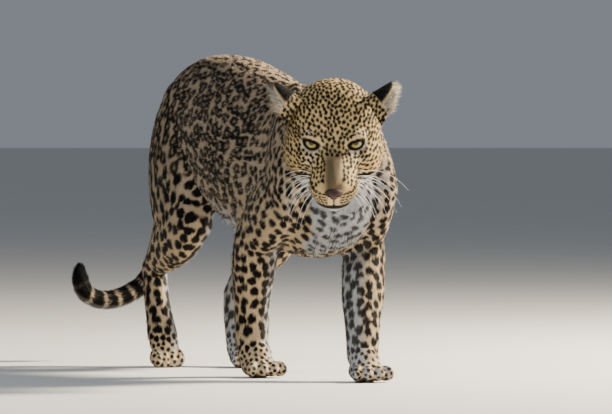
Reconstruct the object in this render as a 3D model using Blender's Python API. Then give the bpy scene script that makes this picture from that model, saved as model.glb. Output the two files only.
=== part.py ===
# A leopard walking with its head held low, as a still, life-size museum model.
# Metres, +Z up, the body runs along Y with the nose towards -Y, its left side is +X.
# The flesh is built whole from lofted tubes and ellipsoids, fused and smoothed,
# and then parted with thin cuts into the pieces that a person would name.
import math

import bmesh
import bpy
import numpy as np
from mathutils import Matrix, Vector

GAP = 0.0003
CORE_VOXEL = 0.0060
FINE_VOXEL = 0.0026
RING_SIDES = 20

SIDES = {"left": 1.0, "right": -1.0}

# The head: a frame of its own, with its origin midway between the eyes,
# x to the animal's left, y along the face and z out of the crown.
EYE_MIDPOINT = Vector((-0.085, -0.270, 0.448))
HEAD_YAW = math.radians(22.0)
HEAD_PITCH = math.radians(45.0)
EYE_SPACING = 0.080
EYE_RADIUS = 0.0165
EYE_DEPTH = 0.0085
EYE_SPLAY = math.radians(14.0)

# Torso rings: place along Y, height of the back, height of the belly, half width
TORSO = [
    (-0.138, 0.440, 0.310, 0.045),
    (-0.108, 0.492, 0.268, 0.078),
    (-0.050, 0.538, 0.238, 0.098),
    (0.040, 0.560, 0.228, 0.106),
    (0.150, 0.566, 0.238, 0.114),
    (0.260, 0.591, 0.256, 0.121),
    (0.370, 0.613, 0.283, 0.117),
    (0.470, 0.621, 0.325, 0.109),
    (0.570, 0.618, 0.375, 0.103),
    (0.650, 0.594, 0.425, 0.080),
    (0.698, 0.560, 0.475, 0.045),
]

# Tubes: centre x, y, z, half size across, half size fore and aft
NECK = [
    (0.000, 0.040, 0.425, 0.094, 0.120),
    (-0.010, -0.050, 0.440, 0.094, 0.112),
    (-0.028, -0.115, 0.458, 0.088, 0.100),
    (-0.046, -0.175, 0.484, 0.078, 0.086),
]
TAIL = [
    (0.000, 0.660, 0.560, 0.036, 0.036),
    (0.000, 0.725, 0.525, 0.029, 0.029),
    (0.000, 0.780, 0.445, 0.0245, 0.0245),
    (0.000, 0.826, 0.340, 0.0225, 0.0225),
    (-0.002, 0.866, 0.240, 0.0215, 0.0215),
    (-0.014, 0.897, 0.170, 0.0215, 0.0215),
    (-0.058, 0.905, 0.135, 0.0215, 0.0215),
    (-0.108, 0.900, 0.125, 0.0210, 0.0210),
    (-0.148, 0.895, 0.138, 0.0200, 0.0200),
    (-0.163, 0.892, 0.168, 0.0185, 0.0185),
    (-0.165, 0.890, 0.190, 0.0130, 0.0130),
]
LEG_TUBES = {
    "right_fore": [
        [(-0.040, 0.055, 0.540, 0.018, 0.045), (-0.064, 0.015, 0.480, 0.032, 0.072),
         (-0.080, -0.035, 0.400, 0.042, 0.078), (-0.085, -0.066, 0.350, 0.040, 0.058)],
        [(-0.082, -0.055, 0.372, 0.042, 0.070), (-0.088, 0.030, 0.322, 0.042, 0.070),
         (-0.090, 0.105, 0.275, 0.038, 0.054), (-0.090, 0.138, 0.252, 0.032, 0.036)],
        [(-0.089, 0.110, 0.280, 0.040, 0.050), (-0.086, 0.128, 0.225, 0.045, 0.050),
         (-0.080, 0.154, 0.165, 0.039, 0.042), (-0.076, 0.166, 0.115, 0.036, 0.037),
         (-0.074, 0.169, 0.065, 0.034, 0.036), (-0.072, 0.162, 0.036, 0.035, 0.036)],
    ],
    "left_fore": [
        [(0.040, 0.045, 0.540, 0.018, 0.045), (0.064, 0.000, 0.480, 0.032, 0.072),
         (0.074, -0.055, 0.400, 0.040, 0.076), (0.080, -0.092, 0.350, 0.038, 0.055)],
        [(0.076, -0.082, 0.365, 0.040, 0.064), (0.084, -0.032, 0.315, 0.040, 0.064),
         (0.088, 0.018, 0.275, 0.038, 0.050), (0.088, 0.040, 0.255, 0.031, 0.033)],
        [(0.087, 0.002, 0.280, 0.038, 0.047), (0.083, -0.012, 0.230, 0.042, 0.047),
         (0.068, -0.042, 0.162, 0.043, 0.044), (0.057, -0.066, 0.118, 0.037, 0.038),
         (0.051, -0.082, 0.078, 0.034, 0.035), (0.048, -0.086, 0.042, 0.032, 0.034)],
    ],
    "right_hind": [
        [(-0.058, 0.575, 0.545, 0.036, 0.066), (-0.066, 0.570, 0.480, 0.050, 0.100),
         (-0.074, 0.556, 0.410, 0.055, 0.120), (-0.084, 0.526, 0.345, 0.051, 0.122),
         (-0.090, 0.498, 0.300, 0.044, 0.098)],
        [(-0.091, 0.432, 0.302, 0.041, 0.050), (-0.092, 0.500, 0.276, 0.042, 0.066),
         (-0.089, 0.580, 0.242, 0.035, 0.054), (-0.086, 0.645, 0.214, 0.028, 0.036),
         (-0.085, 0.680, 0.200, 0.024, 0.025)],
        [(-0.085, 0.676, 0.205, 0.026, 0.030), (-0.085, 0.664, 0.150, 0.0265, 0.034),
         (-0.085, 0.646, 0.100, 0.029, 0.031), (-0.085, 0.627, 0.060, 0.034, 0.030)],
    ],
    "left_hind": [
        [(0.058, 0.570, 0.545, 0.036, 0.066), (0.066, 0.556, 0.480, 0.050, 0.100),
         (0.074, 0.526, 0.410, 0.055, 0.114), (0.084, 0.480, 0.345, 0.050, 0.098),
         (0.091, 0.440, 0.302, 0.042, 0.072)],
        [(0.092, 0.415, 0.300, 0.041, 0.050), (0.088, 0.468, 0.256, 0.042, 0.056),
         (0.078, 0.536, 0.206, 0.033, 0.042), (0.070, 0.584, 0.172, 0.028, 0.033),
         (0.066, 0.606, 0.156, 0.026, 0.026)],
        [(0.065, 0.608, 0.152, 0.027, 0.031), (0.063, 0.606, 0.110, 0.027, 0.030),
         (0.061, 0.586, 0.065, 0.029, 0.031), (0.060, 0.570, 0.036, 0.032, 0.036)],
    ],
}

# Paws: centre x, y, half width, half length, turn from straight ahead
FLAT_PAWS = {
    "right_fore": (-0.070, 0.140, 0.037, 0.044, math.radians(4.0)),
    "left_fore": (0.047, -0.112, 0.037, 0.044, math.radians(-2.0)),
    "left_hind": (0.060, 0.548, 0.033, 0.046, math.radians(-3.0)),
}
TOE_COUNT = 4
TOE_FAN = math.radians(13.0)
TOE_RADII = (0.0125, 0.0215, 0.0170)

# The right hind foot stands on its toe tips: where its ball is and where its toes touch
TIPTOE_BALL = Vector((-0.085, 0.620, 0.048))
TIPTOE_TIP = Vector((-0.084, 0.596, 0.006))

# Head rings in the head's frame: place along y, height of the top, of the underside, half width
HEAD_RINGS = [
    (-0.150, 0.024, -0.042, 0.030),
    (-0.136, 0.044, -0.066, 0.054),
    (-0.108, 0.060, -0.088, 0.074),
    (-0.080, 0.063, -0.098, 0.084),
    (-0.054, 0.054, -0.102, 0.088),
    (-0.030, 0.039, -0.102, 0.084),
    (-0.008, 0.023, -0.100, 0.071),
    (0.012, 0.010, -0.097, 0.057),
    (0.032, 0.001, -0.094, 0.047),
    (0.052, -0.005, -0.092, 0.042),
    (0.070, -0.011, -0.090, 0.039),
    (0.084, -0.018, -0.086, 0.033),
    (0.093, -0.027, -0.076, 0.020),
]
# Masses laid on the rings: centre, half sizes; a pair is mirrored in x
HEAD_SINGLES = {
    "chin": ((0.0, 0.060, -0.084), (0.022, 0.025, 0.018)),
    "bridge": ((0.0, 0.040, -0.016), (0.019, 0.052, 0.019)),
}
HEAD_PAIRS = {
    "cheek": ((0.052, -0.034, -0.050), (0.042, 0.056, 0.050)),
    "ruff": ((0.046, -0.030, -0.078), (0.038, 0.044, 0.034)),
    "cheekbone": ((0.050, -0.010, -0.024), (0.027, 0.032, 0.018)),
    "whisker_pad": ((0.0230, 0.056, -0.0470), (0.0260, 0.036, 0.0245)),
    "brow": ((0.036, -0.018, 0.011), (0.027, 0.021, 0.0130)),
}

# Pushes on the face: centre, half sizes, and the move at the centre; each is mirrored in x
FACE_PUSHES = {
    "inner_corner": ((0.026, 0.012, -0.004), (0.020, 0.030, 0.018), (-0.004, -0.007, -0.003)),
    "socket": ((0.040, 0.004, 0.000), (0.027, 0.030, 0.022), (0.0, -0.010, -0.006)),
    "cheek_dip": ((0.048, 0.030, -0.050), (0.020, 0.024, 0.026), (-0.004, -0.003, 0.0)),
    "brow": ((0.036, -0.008, 0.016), (0.026, 0.018, 0.016), (0.0, 0.0045, 0.0020)),
    "cheekbone": ((0.056, 0.000, -0.030), (0.022, 0.022, 0.020), (0.003, 0.003, 0.0)),
    "bridge_hollow": ((0.024, 0.036, -0.022), (0.012, 0.034, 0.020), (-0.003, -0.0025, -0.0035)),
    "bridge_edge": ((0.013, 0.040, -0.004), (0.009, 0.040, 0.014), (0.0, 0.0016, 0.0026)),
    "pad": ((0.024, 0.070, -0.050), (0.020, 0.020, 0.022), (0.003, 0.0025, 0.0)),
}
HEAD_MIDDLE = (0.0, -0.020, -0.015)
HEAD_REACH = 0.160

# Lids, nose, mouth and ears, all in the head's frame
LID_OPENING = (0.0152, 0.0096)
LID_LOOK_UP = math.radians(32.0)
LID_TILT = math.radians(13.0)
LID_ROLL = 0.0028
NOSE_CENTRE = (0.0, 0.0905, -0.0330)
NOSE_HALF = (0.0178, 0.0100, 0.0100)
NOSTRIL = ((0.0098, 0.0995, -0.0345), (0.0034, 0.0060, 0.0024))
MOUTH_HEIGHT = -0.0605
MOUTH_BACK = 0.012
MOUTH_HALF = 0.0038
MOUTH_DEPTH = 0.0045
EAR_ROOT = (0.064, -0.084, 0.048)
EAR_OUT = (0.86, -0.50, 0.22)
EAR_FACING = (0.50, 0.61, -0.61)
EAR_HALF_WIDTH = 0.030
EAR_HEIGHT = 0.064
EAR_DEPTH = (0.046, 0.010)
EAR_WALL = 0.0042

MOUTH_SLOPE = math.radians(7.2)
NOSE_VOXEL = 0.0014

# Where the pieces are parted
KEPT_SHARE = 0.0165
HEAD_DETAIL = 0.26
FORE_CUT = [(0.030, -0.10), (0.030, 0.212), (0.160, 0.400), (0.300, 0.400), (0.300, -0.10)]
FORE_REACH = (-0.25, 0.205)
HIND_CUT = [(0.002, -0.10), (0.002, 0.268), (0.140, 0.500), (0.300, 0.500), (0.300, -0.10)]
HIND_REACH = (0.360, 0.80)
ELBOW_CUT = {"left": (0.0, 0.0, 0.232), "right": (0.0, 0.0, 0.228)}
WRIST_HEIGHT = 0.062
KNEE_CUT = {"left": (0.0, 0.470, 0.283), "right": (0.0, 0.530, 0.284)}
KNEE_NORMAL = {"left": (0.0, 0.150, -0.989), "right": (0.0, 0.225, -0.974)}
HOCK_HEIGHT = {"left": 0.142, "right": 0.182}
NECK_CUT = (0.0, 0.005, 0.560)
NECK_NORMAL = (0.0, -0.80, 0.60)
HEAD_CUT = (0.0, -0.105, 0.0)
HEAD_CUT_NORMAL = (0.0, 0.94, -0.34)
CHEST_END = 0.225
BELLY_END = 0.440
TAIL_CUTS = [
    ((0.0, 0.722, 0.525), (0.0, 0.82, -0.57)),
    ((0.0, 0.840, 0.305), (0.0, 0.38, -0.92)),
    ((-0.034, 0.902, 0.150), (-0.80, 0.10, -0.58)),
    ((-0.108, 0.900, 0.125), (-1.0, -0.05, 0.0)),
]

COLOURS = {
    "coat": ((0.56, 0.38, 0.20, 1.0), 0.85),
    "pale": ((0.74, 0.68, 0.58, 1.0), 0.88),
    "dark": ((0.05, 0.04, 0.035, 1.0), 0.80),
    "nose": ((0.22, 0.11, 0.09, 1.0), 0.45),
    "eye": ((0.48, 0.46, 0.20, 1.0), 0.08),
}


def clear_scene():
    for thing in list(bpy.data.objects):
        bpy.data.objects.remove(thing, do_unlink=True)


def head_matrix():
    turn = Matrix.Rotation(-HEAD_YAW, 4, "Z")
    face = turn @ Vector((0.0, -1.0, 0.0))
    left = turn @ Vector((1.0, 0.0, 0.0))
    along = face * math.cos(HEAD_PITCH) - Vector((0.0, 0.0, 1.0)) * math.sin(HEAD_PITCH)
    crown = face * math.sin(HEAD_PITCH) + Vector((0.0, 0.0, 1.0)) * math.cos(HEAD_PITCH)
    frame = Matrix((left, along, crown)).transposed().to_4x4()
    frame.translation = EYE_MIDPOINT
    return frame


HEAD = head_matrix()


def smooth_path(stations, steps=5):
    # a Catmull-Rom curve through the stations, all their numbers alike
    points = np.array(stations, dtype=float)
    first = 2.0 * points[0] - points[1]
    last = 2.0 * points[-1] - points[-2]
    padded = np.vstack([first, points, last])
    rows = []
    for i in range(1, len(padded) - 2):
        a, b, c, d = padded[i - 1], padded[i], padded[i + 1], padded[i + 2]
        for step in range(steps):
            t = step / steps
            rows.append(0.5 * (2.0 * b + (c - a) * t + (2.0 * a - 5.0 * b + 4.0 * c - d) * t * t
                               + (3.0 * b - a - 3.0 * c + d) * t ** 3))
    rows.append(points[-1])
    return np.array(rows)


def bridge_rings(mesh, rings):
    for lower, upper in zip(rings[:-1], rings[1:]):
        count = len(lower)
        for i in range(count):
            j = (i + 1) % count
            mesh.faces.new((lower[i], lower[j], upper[j], upper[i]))
    mesh.faces.new(list(reversed(rings[0])))
    mesh.faces.new(rings[-1])


def add_tube(mesh, stations, frame=None, across=Vector((1.0, 0.0, 0.0))):
    # rings square to the path, with a rounded cap at each end
    path = smooth_path(stations)
    rings = []
    count = len(path)
    for i in range(count):
        here = path[i]
        tangent = Vector(path[min(i + 1, count - 1)][:3] - path[max(i - 1, 0)][:3]).normalized()
        side = (across - tangent * across.dot(tangent)).normalized()
        front = tangent.cross(side)
        centre = Vector(here[:3])
        ends = []
        if i == 0:
            ends = [(-0.75, 0.45), (-0.45, 0.80)]
        ends.append((0.0, 1.0))
        if i == count - 1:
            ends += [(0.45, 0.80), (0.75, 0.45)]
        for shift, scale in ends:
            middle = centre + tangent * shift * min(here[3], here[4])
            ring = []
            for k in range(RING_SIDES):
                angle = 2.0 * math.pi * k / RING_SIDES
                spot = middle + side * here[3] * scale * math.cos(angle)
                spot = spot + front * here[4] * scale * math.sin(angle)
                ring.append(mesh.verts.new(frame @ spot if frame else spot))
            rings.append(ring)
    bridge_rings(mesh, rings)


def add_ball(mesh, centre, radii, frame=None, turn=None, segments=24):
    place = Matrix.Translation(Vector(centre))
    if turn is not None:
        place = place @ turn.to_4x4()
    place = place @ Matrix.Diagonal((radii[0], radii[1], radii[2], 1.0))
    if frame is not None:
        place = frame @ place
    bmesh.ops.create_uvsphere(mesh, u_segments=segments, v_segments=segments // 2, radius=1.0,
                              matrix=place)


def add_torso(mesh):
    rings = []
    for y, top, bottom, half in smooth_path(TORSO):
        middle = 0.5 * (top + bottom)
        tall = 0.5 * (top - bottom)
        ring = []
        for k in range(RING_SIDES * 2):
            angle = math.pi * k / RING_SIDES
            # the ribs are fullest a little below the middle, and the back is narrower
            squeeze = 1.0 - 0.10 * math.sin(angle)
            ring.append(mesh.verts.new((half * squeeze * math.cos(angle), y,
                                        middle + tall * math.sin(angle))))
        rings.append(ring)
    bridge_rings(mesh, rings)


def mesh_object(name, mesh):
    bmesh.ops.recalc_face_normals(mesh, faces=mesh.faces)
    data = bpy.data.meshes.new(name)
    mesh.to_mesh(data)
    mesh.free()
    thing = bpy.data.objects.new(name, data)
    bpy.context.scene.collection.objects.link(thing)
    return thing


def baked(thing):
    # replaces an object's mesh by the one that its modifiers give
    depsgraph = bpy.context.evaluated_depsgraph_get()
    data = bpy.data.meshes.new_from_object(thing.evaluated_get(depsgraph))
    thing.modifiers.clear()
    thing.data = data
    return thing


def remesh(thing, voxel):
    modifier = thing.modifiers.new("Remesh", "REMESH")
    modifier.mode = "VOXEL"
    modifier.voxel_size = voxel
    modifier.use_smooth_shade = False
    return baked(thing)


def vertex_array(thing):
    flat = np.empty(len(thing.data.vertices) * 3)
    thing.data.vertices.foreach_get("co", flat)
    return flat.reshape(-1, 3)


def relax(thing, weight, rounds, inflate=0.53):
    # Taubin smoothing: each round pulls in and then lets out, so that nothing shrinks
    points = vertex_array(thing)
    pairs = np.empty(len(thing.data.edges) * 2, dtype=np.int64)
    thing.data.edges.foreach_get("vertices", pairs)
    a, b = pairs.reshape(-1, 2).T
    degree = np.bincount(a, minlength=len(points)) + np.bincount(b, minlength=len(points))
    degree = np.maximum(degree, 1)[:, None]
    share = weight(points)[:, None]
    for step in range(rounds * 2):
        total = np.empty_like(points)
        for axis in range(3):
            total[:, axis] = np.bincount(a, points[b, axis], len(points))
            total[:, axis] += np.bincount(b, points[a, axis], len(points))
        amount = 0.5 if step % 2 == 0 else -inflate
        points = points + amount * share * (total / degree - points)
    thing.data.vertices.foreach_set("co", points.ravel())
    thing.data.update()
    return points


def near(points, centre, radius):
    # 1 at the centre, falling to 0 at the radius
    away = np.linalg.norm(points - np.array(centre), axis=1) / radius
    return np.clip(1.0 - away, 0.0, 1.0)


def core_weight(points):
    # the joins of limbs and trunk are smoothed hard, the slim limbs hardly
    weight = np.full(len(points), 0.25)
    for x in (-0.09, 0.09):
        weight = np.maximum(weight, 1.6 * near(points, (x, -0.03, 0.40), 0.24))
        weight = np.maximum(weight, 1.6 * near(points, (x, 0.52, 0.42), 0.26))
    weight = np.maximum(weight, 1.6 * near(points, (0.0, 0.68, 0.55), 0.12))
    weight = np.maximum(weight, 1.4 * near(points, (-0.02, -0.10, 0.44), 0.20))
    return np.minimum(weight, 1.0)


def build_core():
    mesh = bmesh.new()
    add_torso(mesh)
    add_tube(mesh, NECK)
    add_tube(mesh, TAIL)
    for tubes in LEG_TUBES.values():
        for stations in tubes:
            add_tube(mesh, stations)
    core = mesh_object("core", mesh)
    remesh(core, CORE_VOXEL)
    relax(core, core_weight, 26)
    return core


def add_flat_paw(mesh, x, y, half_width, half_length, turn):
    place = Matrix.Translation((x, y, 0.0)) @ Matrix.Rotation(turn, 4, "Z")
    add_ball(mesh, (0.0, 0.006, 0.024), (half_width * 0.92, half_length * 0.95, 0.027), place)
    add_ball(mesh, (0.0, 0.012, 0.042), (half_width * 0.84, half_length * 0.80, 0.032), place)
    for i in range(TOE_COUNT):
        slot = i - 0.5 * (TOE_COUNT - 1)
        angle = slot * TOE_FAN
        reach = half_length * (0.98 - 0.07 * slot * slot)
        turn_toe = Matrix.Rotation(angle, 3, "Z")
        centre = turn_toe @ Vector((0.0, -reach * 0.74, 0.0185))
        centre.x = slot * half_width * 0.52
        add_ball(mesh, centre, TOE_RADII, place, turn_toe, 16)


def add_tiptoe_paw(mesh):
    down = (TIPTOE_TIP - TIPTOE_BALL).normalized()
    across = Vector((1.0, 0.0, 0.0))
    back = down.cross(across).normalized()
    turn = Matrix((across, down, back)).transposed()
    half_width = FLAT_PAWS["left_hind"][2]
    add_ball(mesh, TIPTOE_BALL, (half_width, 0.034, 0.026), None, turn)
    for i in range(TOE_COUNT):
        slot = i - 0.5 * (TOE_COUNT - 1)
        fan = Matrix.Rotation(-slot * TOE_FAN * 0.6, 3, back)
        centre = TIPTOE_TIP - down * 0.012 + across * slot * half_width * 0.50
        centre = centre + Vector((0.0, 0.0, 0.0015 * slot * slot))
        add_ball(mesh, centre, (TOE_RADII[0], TOE_RADII[1], TOE_RADII[2]), None, fan @ turn, 16)


def eye_centre(side):
    return (side * EYE_SPACING * 0.5, -EYE_DEPTH, 0.0)


def add_lids(mesh, side):
    # a soft roll round the opening, thicker above than below, laid on the eyeball
    stations = []
    steps = 16
    wide, tall = LID_OPENING
    splay = Matrix.Rotation(-side * EYE_SPLAY, 3, "Z")
    look_up = Matrix.Rotation(LID_LOOK_UP, 3, "X")
    tilt = Matrix.Rotation(-side * LID_TILT, 3, "Y")
    reach = EYE_RADIUS + 0.0012
    for i in range(steps):
        angle = 2.0 * math.pi * i / steps
        u = wide * math.cos(angle)
        v = tall * math.sin(angle)
        along = math.sqrt(max(reach ** 2 - u * u - v * v, 0.00002))
        spot = splay @ look_up @ tilt @ Vector((u, along, v))
        stations.append(Vector(eye_centre(side)) + spot)
    for i in range(steps):
        add_ball(mesh, stations[i], (LID_ROLL * 1.25, LID_ROLL, LID_ROLL), HEAD, None, 8)
        between = 0.5 * (stations[i] + stations[(i + 1) % steps])
        add_ball(mesh, between, (LID_ROLL * 1.25, LID_ROLL, LID_ROLL), HEAD, None, 8)


def add_head(mesh):
    rings = []
    for y, top, bottom, half in smooth_path(HEAD_RINGS):
        middle = 0.5 * (top + bottom)
        tall = 0.5 * (top - bottom)
        ring = []
        for k in range(RING_SIDES * 2):
            angle = math.pi * k / RING_SIDES
            across = math.copysign(abs(math.cos(angle)) ** 0.85, math.cos(angle))
            up = math.copysign(abs(math.sin(angle)) ** 0.85, math.sin(angle))
            ring.append(mesh.verts.new(HEAD @ Vector((half * across, y, middle + tall * up))))
        rings.append(ring)
    bridge_rings(mesh, rings)
    for centre, radii in HEAD_SINGLES.values():
        add_ball(mesh, centre, radii, HEAD)
    for centre, radii in HEAD_PAIRS.values():
        for side in SIDES.values():
            add_ball(mesh, (centre[0] * side, centre[1], centre[2]), radii, HEAD)


def fuse(thing, mesh, voxel):
    # adds the pieces in mesh to thing and makes one surface of them
    extra = mesh_object("extra", mesh)
    both = bmesh.new()
    both.from_mesh(thing.data)
    both.from_mesh(extra.data)
    both.to_mesh(thing.data)
    both.free()
    drop(extra)
    return remesh(thing, voxel)


def local_points(points):
    inverse = np.array(HEAD.inverted())
    return points @ inverse[:3, :3].T + inverse[:3, 3]


def head_share(points):
    # 1 on the face and crown, 0 from the neck back
    local = local_points(points)
    along = np.clip((local[:, 1] + 0.115) / 0.04, 0.0, 1.0)
    away = np.linalg.norm(local - np.array(HEAD_MIDDLE), axis=1)
    return along * np.clip((HEAD_REACH - away) / 0.02, 0.0, 1.0)


def blend_head(thing):
    # rounds the joins of the head's masses before lids and lips go on
    relax(thing, head_share, 44)


def push(points, centre, radii, move):
    # moves the points near a place in the head's frame, fading to none at the radii
    local = local_points(points)
    away = np.sqrt((((local - np.array(centre)) / np.array(radii)) ** 2).sum(axis=1))
    fade = np.clip(1.0 - away, 0.0, 1.0)
    fade = fade * fade * (3.0 - 2.0 * fade)
    world = np.array(HEAD.to_3x3()) @ np.array(move)
    return points + fade[:, None] * world


def shape_face(thing):
    points = vertex_array(thing)
    for side in SIDES.values():
        for centre, radii, move in FACE_PUSHES.values():
            centre = (side * centre[0], centre[1], centre[2])
            points = push(points, centre, radii, (side * move[0], move[1], move[2]))
    thing.data.vertices.foreach_set("co", points.ravel())
    thing.data.update()


def modifier_cut(thing, other, operation):
    modifier = thing.modifiers.new("Cut", "BOOLEAN")
    modifier.operation = operation
    modifier.solver = "EXACT"
    modifier.object = other
    baked(thing)
    return thing


def drop(thing):
    bpy.data.objects.remove(thing, do_unlink=True)


def carve_mouth(thing):
    # the line between the lips, a shallow groove round the front of the muzzle
    points = vertex_array(thing)
    normals = np.empty(len(points) * 3)
    thing.data.vertices.foreach_get("normal", normals)
    local = local_points(points)
    height = MOUTH_HEIGHT - (local[:, 1] - MOUTH_BACK) * math.tan(MOUTH_SLOPE)
    near_line = np.clip(1.0 - np.abs(local[:, 2] - height) / MOUTH_HALF, 0.0, 1.0)
    ahead = np.clip((local[:, 1] - MOUTH_BACK) / 0.008, 0.0, 1.0)
    depth = MOUTH_DEPTH * near_line * ahead * (head_share(points) > 0.99)
    points = points - depth[:, None] * normals.reshape(-1, 3)
    thing.data.vertices.foreach_set("co", points.ravel())
    thing.data.update()


def fine_weight(points):
    return 0.35 + 0.25 * head_share(points)


def keep_largest(thing):
    mesh = bmesh.new()
    mesh.from_mesh(thing.data)
    mesh.verts.ensure_lookup_table()
    seen = set()
    groups = []
    for start in mesh.verts:
        if start in seen:
            continue
        group = []
        stack = [start]
        seen.add(start)
        while stack:
            vert = stack.pop()
            group.append(vert)
            for edge in vert.link_edges:
                other = edge.other_vert(vert)
                if other not in seen:
                    seen.add(other)
                    stack.append(other)
        groups.append(group)
    groups.sort(key=len, reverse=True)
    for group in groups[1:]:
        bmesh.ops.delete(mesh, geom=group, context="VERTS")
    mesh.to_mesh(thing.data)
    mesh.free()
    thing.data.update()
    return thing


def thin_out(thing, ratio):
    # fewer triangles, with more of them kept on the head and the paws
    points = vertex_array(thing)
    fine = head_share(points)
    fine = np.maximum(fine, np.clip((0.075 - points[:, 2]) / 0.03, 0.0, 1.0) * 0.6)
    group = thing.vertex_groups.new(name="coarse")
    for index, value in enumerate(fine):
        group.add([index], 1.0 - HEAD_DETAIL * float(value), "REPLACE")
    modifier = thing.modifiers.new("Decimate", "DECIMATE")
    modifier.ratio = ratio
    modifier.vertex_group = "coarse"
    modifier.vertex_group_factor = 1.0
    baked(thing)
    thing.vertex_groups.clear()
    return thing


def clean(thing):
    mesh = bmesh.new()
    mesh.from_mesh(thing.data)
    bmesh.ops.remove_doubles(mesh, verts=mesh.verts, dist=0.00002)
    bmesh.ops.dissolve_degenerate(mesh, edges=mesh.edges, dist=0.00002)
    bmesh.ops.triangulate(mesh, faces=mesh.faces)
    bmesh.ops.recalc_face_normals(mesh, faces=mesh.faces)
    mesh.to_mesh(thing.data)
    mesh.free()
    return thing


def build_flesh():
    flesh = build_core()
    mesh = bmesh.new()
    add_head(mesh)
    fuse(flesh, mesh, FINE_VOXEL)
    blend_head(flesh)
    shape_face(flesh)
    mesh = bmesh.new()
    for side in SIDES.values():
        add_lids(mesh, side)
    for x, y, half_width, half_length, turn in FLAT_PAWS.values():
        add_flat_paw(mesh, x, y, half_width, half_length, turn)
    add_tiptoe_paw(mesh)
    fuse(flesh, mesh, FINE_VOXEL)
    relax(flesh, fine_weight, 4)
    carve_mouth(flesh)
    thin_out(flesh, KEPT_SHARE)
    clean(flesh)
    return keep_largest(flesh)


def split(thing, name, point, normal):
    # cuts thing by a plane: the side that the normal points to becomes a new object
    point = Vector(point)
    normal = Vector(normal).normalized()
    other = bpy.data.objects.new(name, thing.data.copy())
    bpy.context.scene.collection.objects.link(other)
    for piece, side in ((thing, -1.0), (other, 1.0)):
        mesh = bmesh.new()
        mesh.from_mesh(piece.data)
        geom = mesh.verts[:] + mesh.edges[:] + mesh.faces[:]
        bmesh.ops.bisect_plane(mesh, geom=geom, dist=0.00001, clear_inner=True,
                               plane_co=point + normal * side * GAP * 0.5, plane_no=normal * side)
        rim = [edge for edge in mesh.edges if edge.is_boundary]
        bmesh.ops.holes_fill(mesh, edges=rim, sides=0)
        mesh.to_mesh(piece.data)
        mesh.free()
        clean(piece)
        keep_largest(piece)
    return other


def prism(outline, low_y, high_y):
    # a bar along Y with the given outline in X and Z
    mesh = bmesh.new()
    near_ring = [mesh.verts.new((x, low_y, z)) for x, z in outline]
    far_ring = [mesh.verts.new((x, high_y, z)) for x, z in outline]
    bridge_rings(mesh, [near_ring, far_ring])
    bmesh.ops.triangulate(mesh, faces=mesh.faces)
    return mesh_object("prism", mesh)


def part_by(thing, cutter, name, step):
    # what lies in the cutter becomes a new object, with a thin gap to the rest
    other = bpy.data.objects.new(name, thing.data.copy())
    bpy.context.scene.collection.objects.link(other)
    modifier_cut(other, cutter, "INTERSECT")
    for vert in cutter.data.vertices:
        vert.co += Vector(step)
    modifier_cut(thing, cutter, "DIFFERENCE")
    drop(cutter)
    for piece in (thing, other):
        clean(piece)
        keep_largest(piece)
    return other


def grown(thing, amount):
    copy = bpy.data.objects.new(thing.name + "_grown", thing.data.copy())
    bpy.context.scene.collection.objects.link(copy)
    normals = [vert.normal.copy() for vert in copy.data.vertices]
    for vert, normal in zip(copy.data.vertices, normals):
        vert.co += normal * amount
    return copy


def part_legs(flesh):
    legs = {}
    for name, side in SIDES.items():
        outline = [(side * x, z) for x, z in FORE_CUT]
        legs[name + "_fore"] = part_by(flesh, prism(outline, *FORE_REACH), name + "_upper_arm",
                                       (-side * GAP, 0.0, GAP))
        outline = [(side * x, z) for x, z in HIND_CUT]
        legs[name + "_hind"] = part_by(flesh, prism(outline, *HIND_REACH), name + "_thigh",
                                       (-side * GAP, -GAP * 1.5, GAP))
    for name in SIDES:
        upper = legs[name + "_fore"]
        forearm = split(upper, name + "_forearm", ELBOW_CUT[name], (0.0, 0.0, -1.0))
        split(forearm, name + "_fore_paw", (0.0, 0.0, WRIST_HEIGHT), (0.0, 0.0, -1.0))
        thigh = legs[name + "_hind"]
        shank = split(thigh, name + "_shank", KNEE_CUT[name], KNEE_NORMAL[name])
        split(shank, name + "_hind_foot", (0.0, 0.0, HOCK_HEIGHT[name]), (0.0, 0.0, -1.0))


def part_trunk(flesh):
    flesh.name = "chest"
    neck = split(flesh, "neck", NECK_CUT, NECK_NORMAL)
    head = split(neck, "head", HEAD @ Vector(HEAD_CUT), HEAD.to_3x3() @ Vector(HEAD_CUT_NORMAL))
    belly = split(flesh, "belly", (0.0, CHEST_END, 0.0), (0.0, 1.0, 0.0))
    rump = split(belly, "rump", (0.0, BELLY_END, 0.0), (0.0, 1.0, 0.0))
    tail = split(rump, "tail_1", TAIL_CUTS[0][0], TAIL_CUTS[0][1])
    for number, (point, normal) in enumerate(TAIL_CUTS[1:], start=2):
        tail = split(tail, "tail_%d" % number, point, normal)
    return head


def add_eye(head, name, side):
    # the eyeball sits in a socket that the lids close over
    for radius in (EYE_RADIUS + GAP, EYE_RADIUS):
        mesh = bmesh.new()
        add_ball(mesh, eye_centre(side), (radius, radius, radius), HEAD, None, 20)
        bmesh.ops.triangulate(mesh, faces=mesh.faces)
        ball = mesh_object("eye_" + name, mesh)
        if radius > EYE_RADIUS:
            modifier_cut(head, ball, "DIFFERENCE")
            drop(ball)
    clean(head)
    keep_largest(head)


def ear_axes(side):
    out = Vector((EAR_OUT[0] * side, EAR_OUT[1], EAR_OUT[2])).normalized()
    facing = Vector((EAR_FACING[0] * side, EAR_FACING[1], EAR_FACING[2]))
    facing = (facing - out * facing.dot(out)).normalized()
    return out, facing, out.cross(facing)


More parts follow.
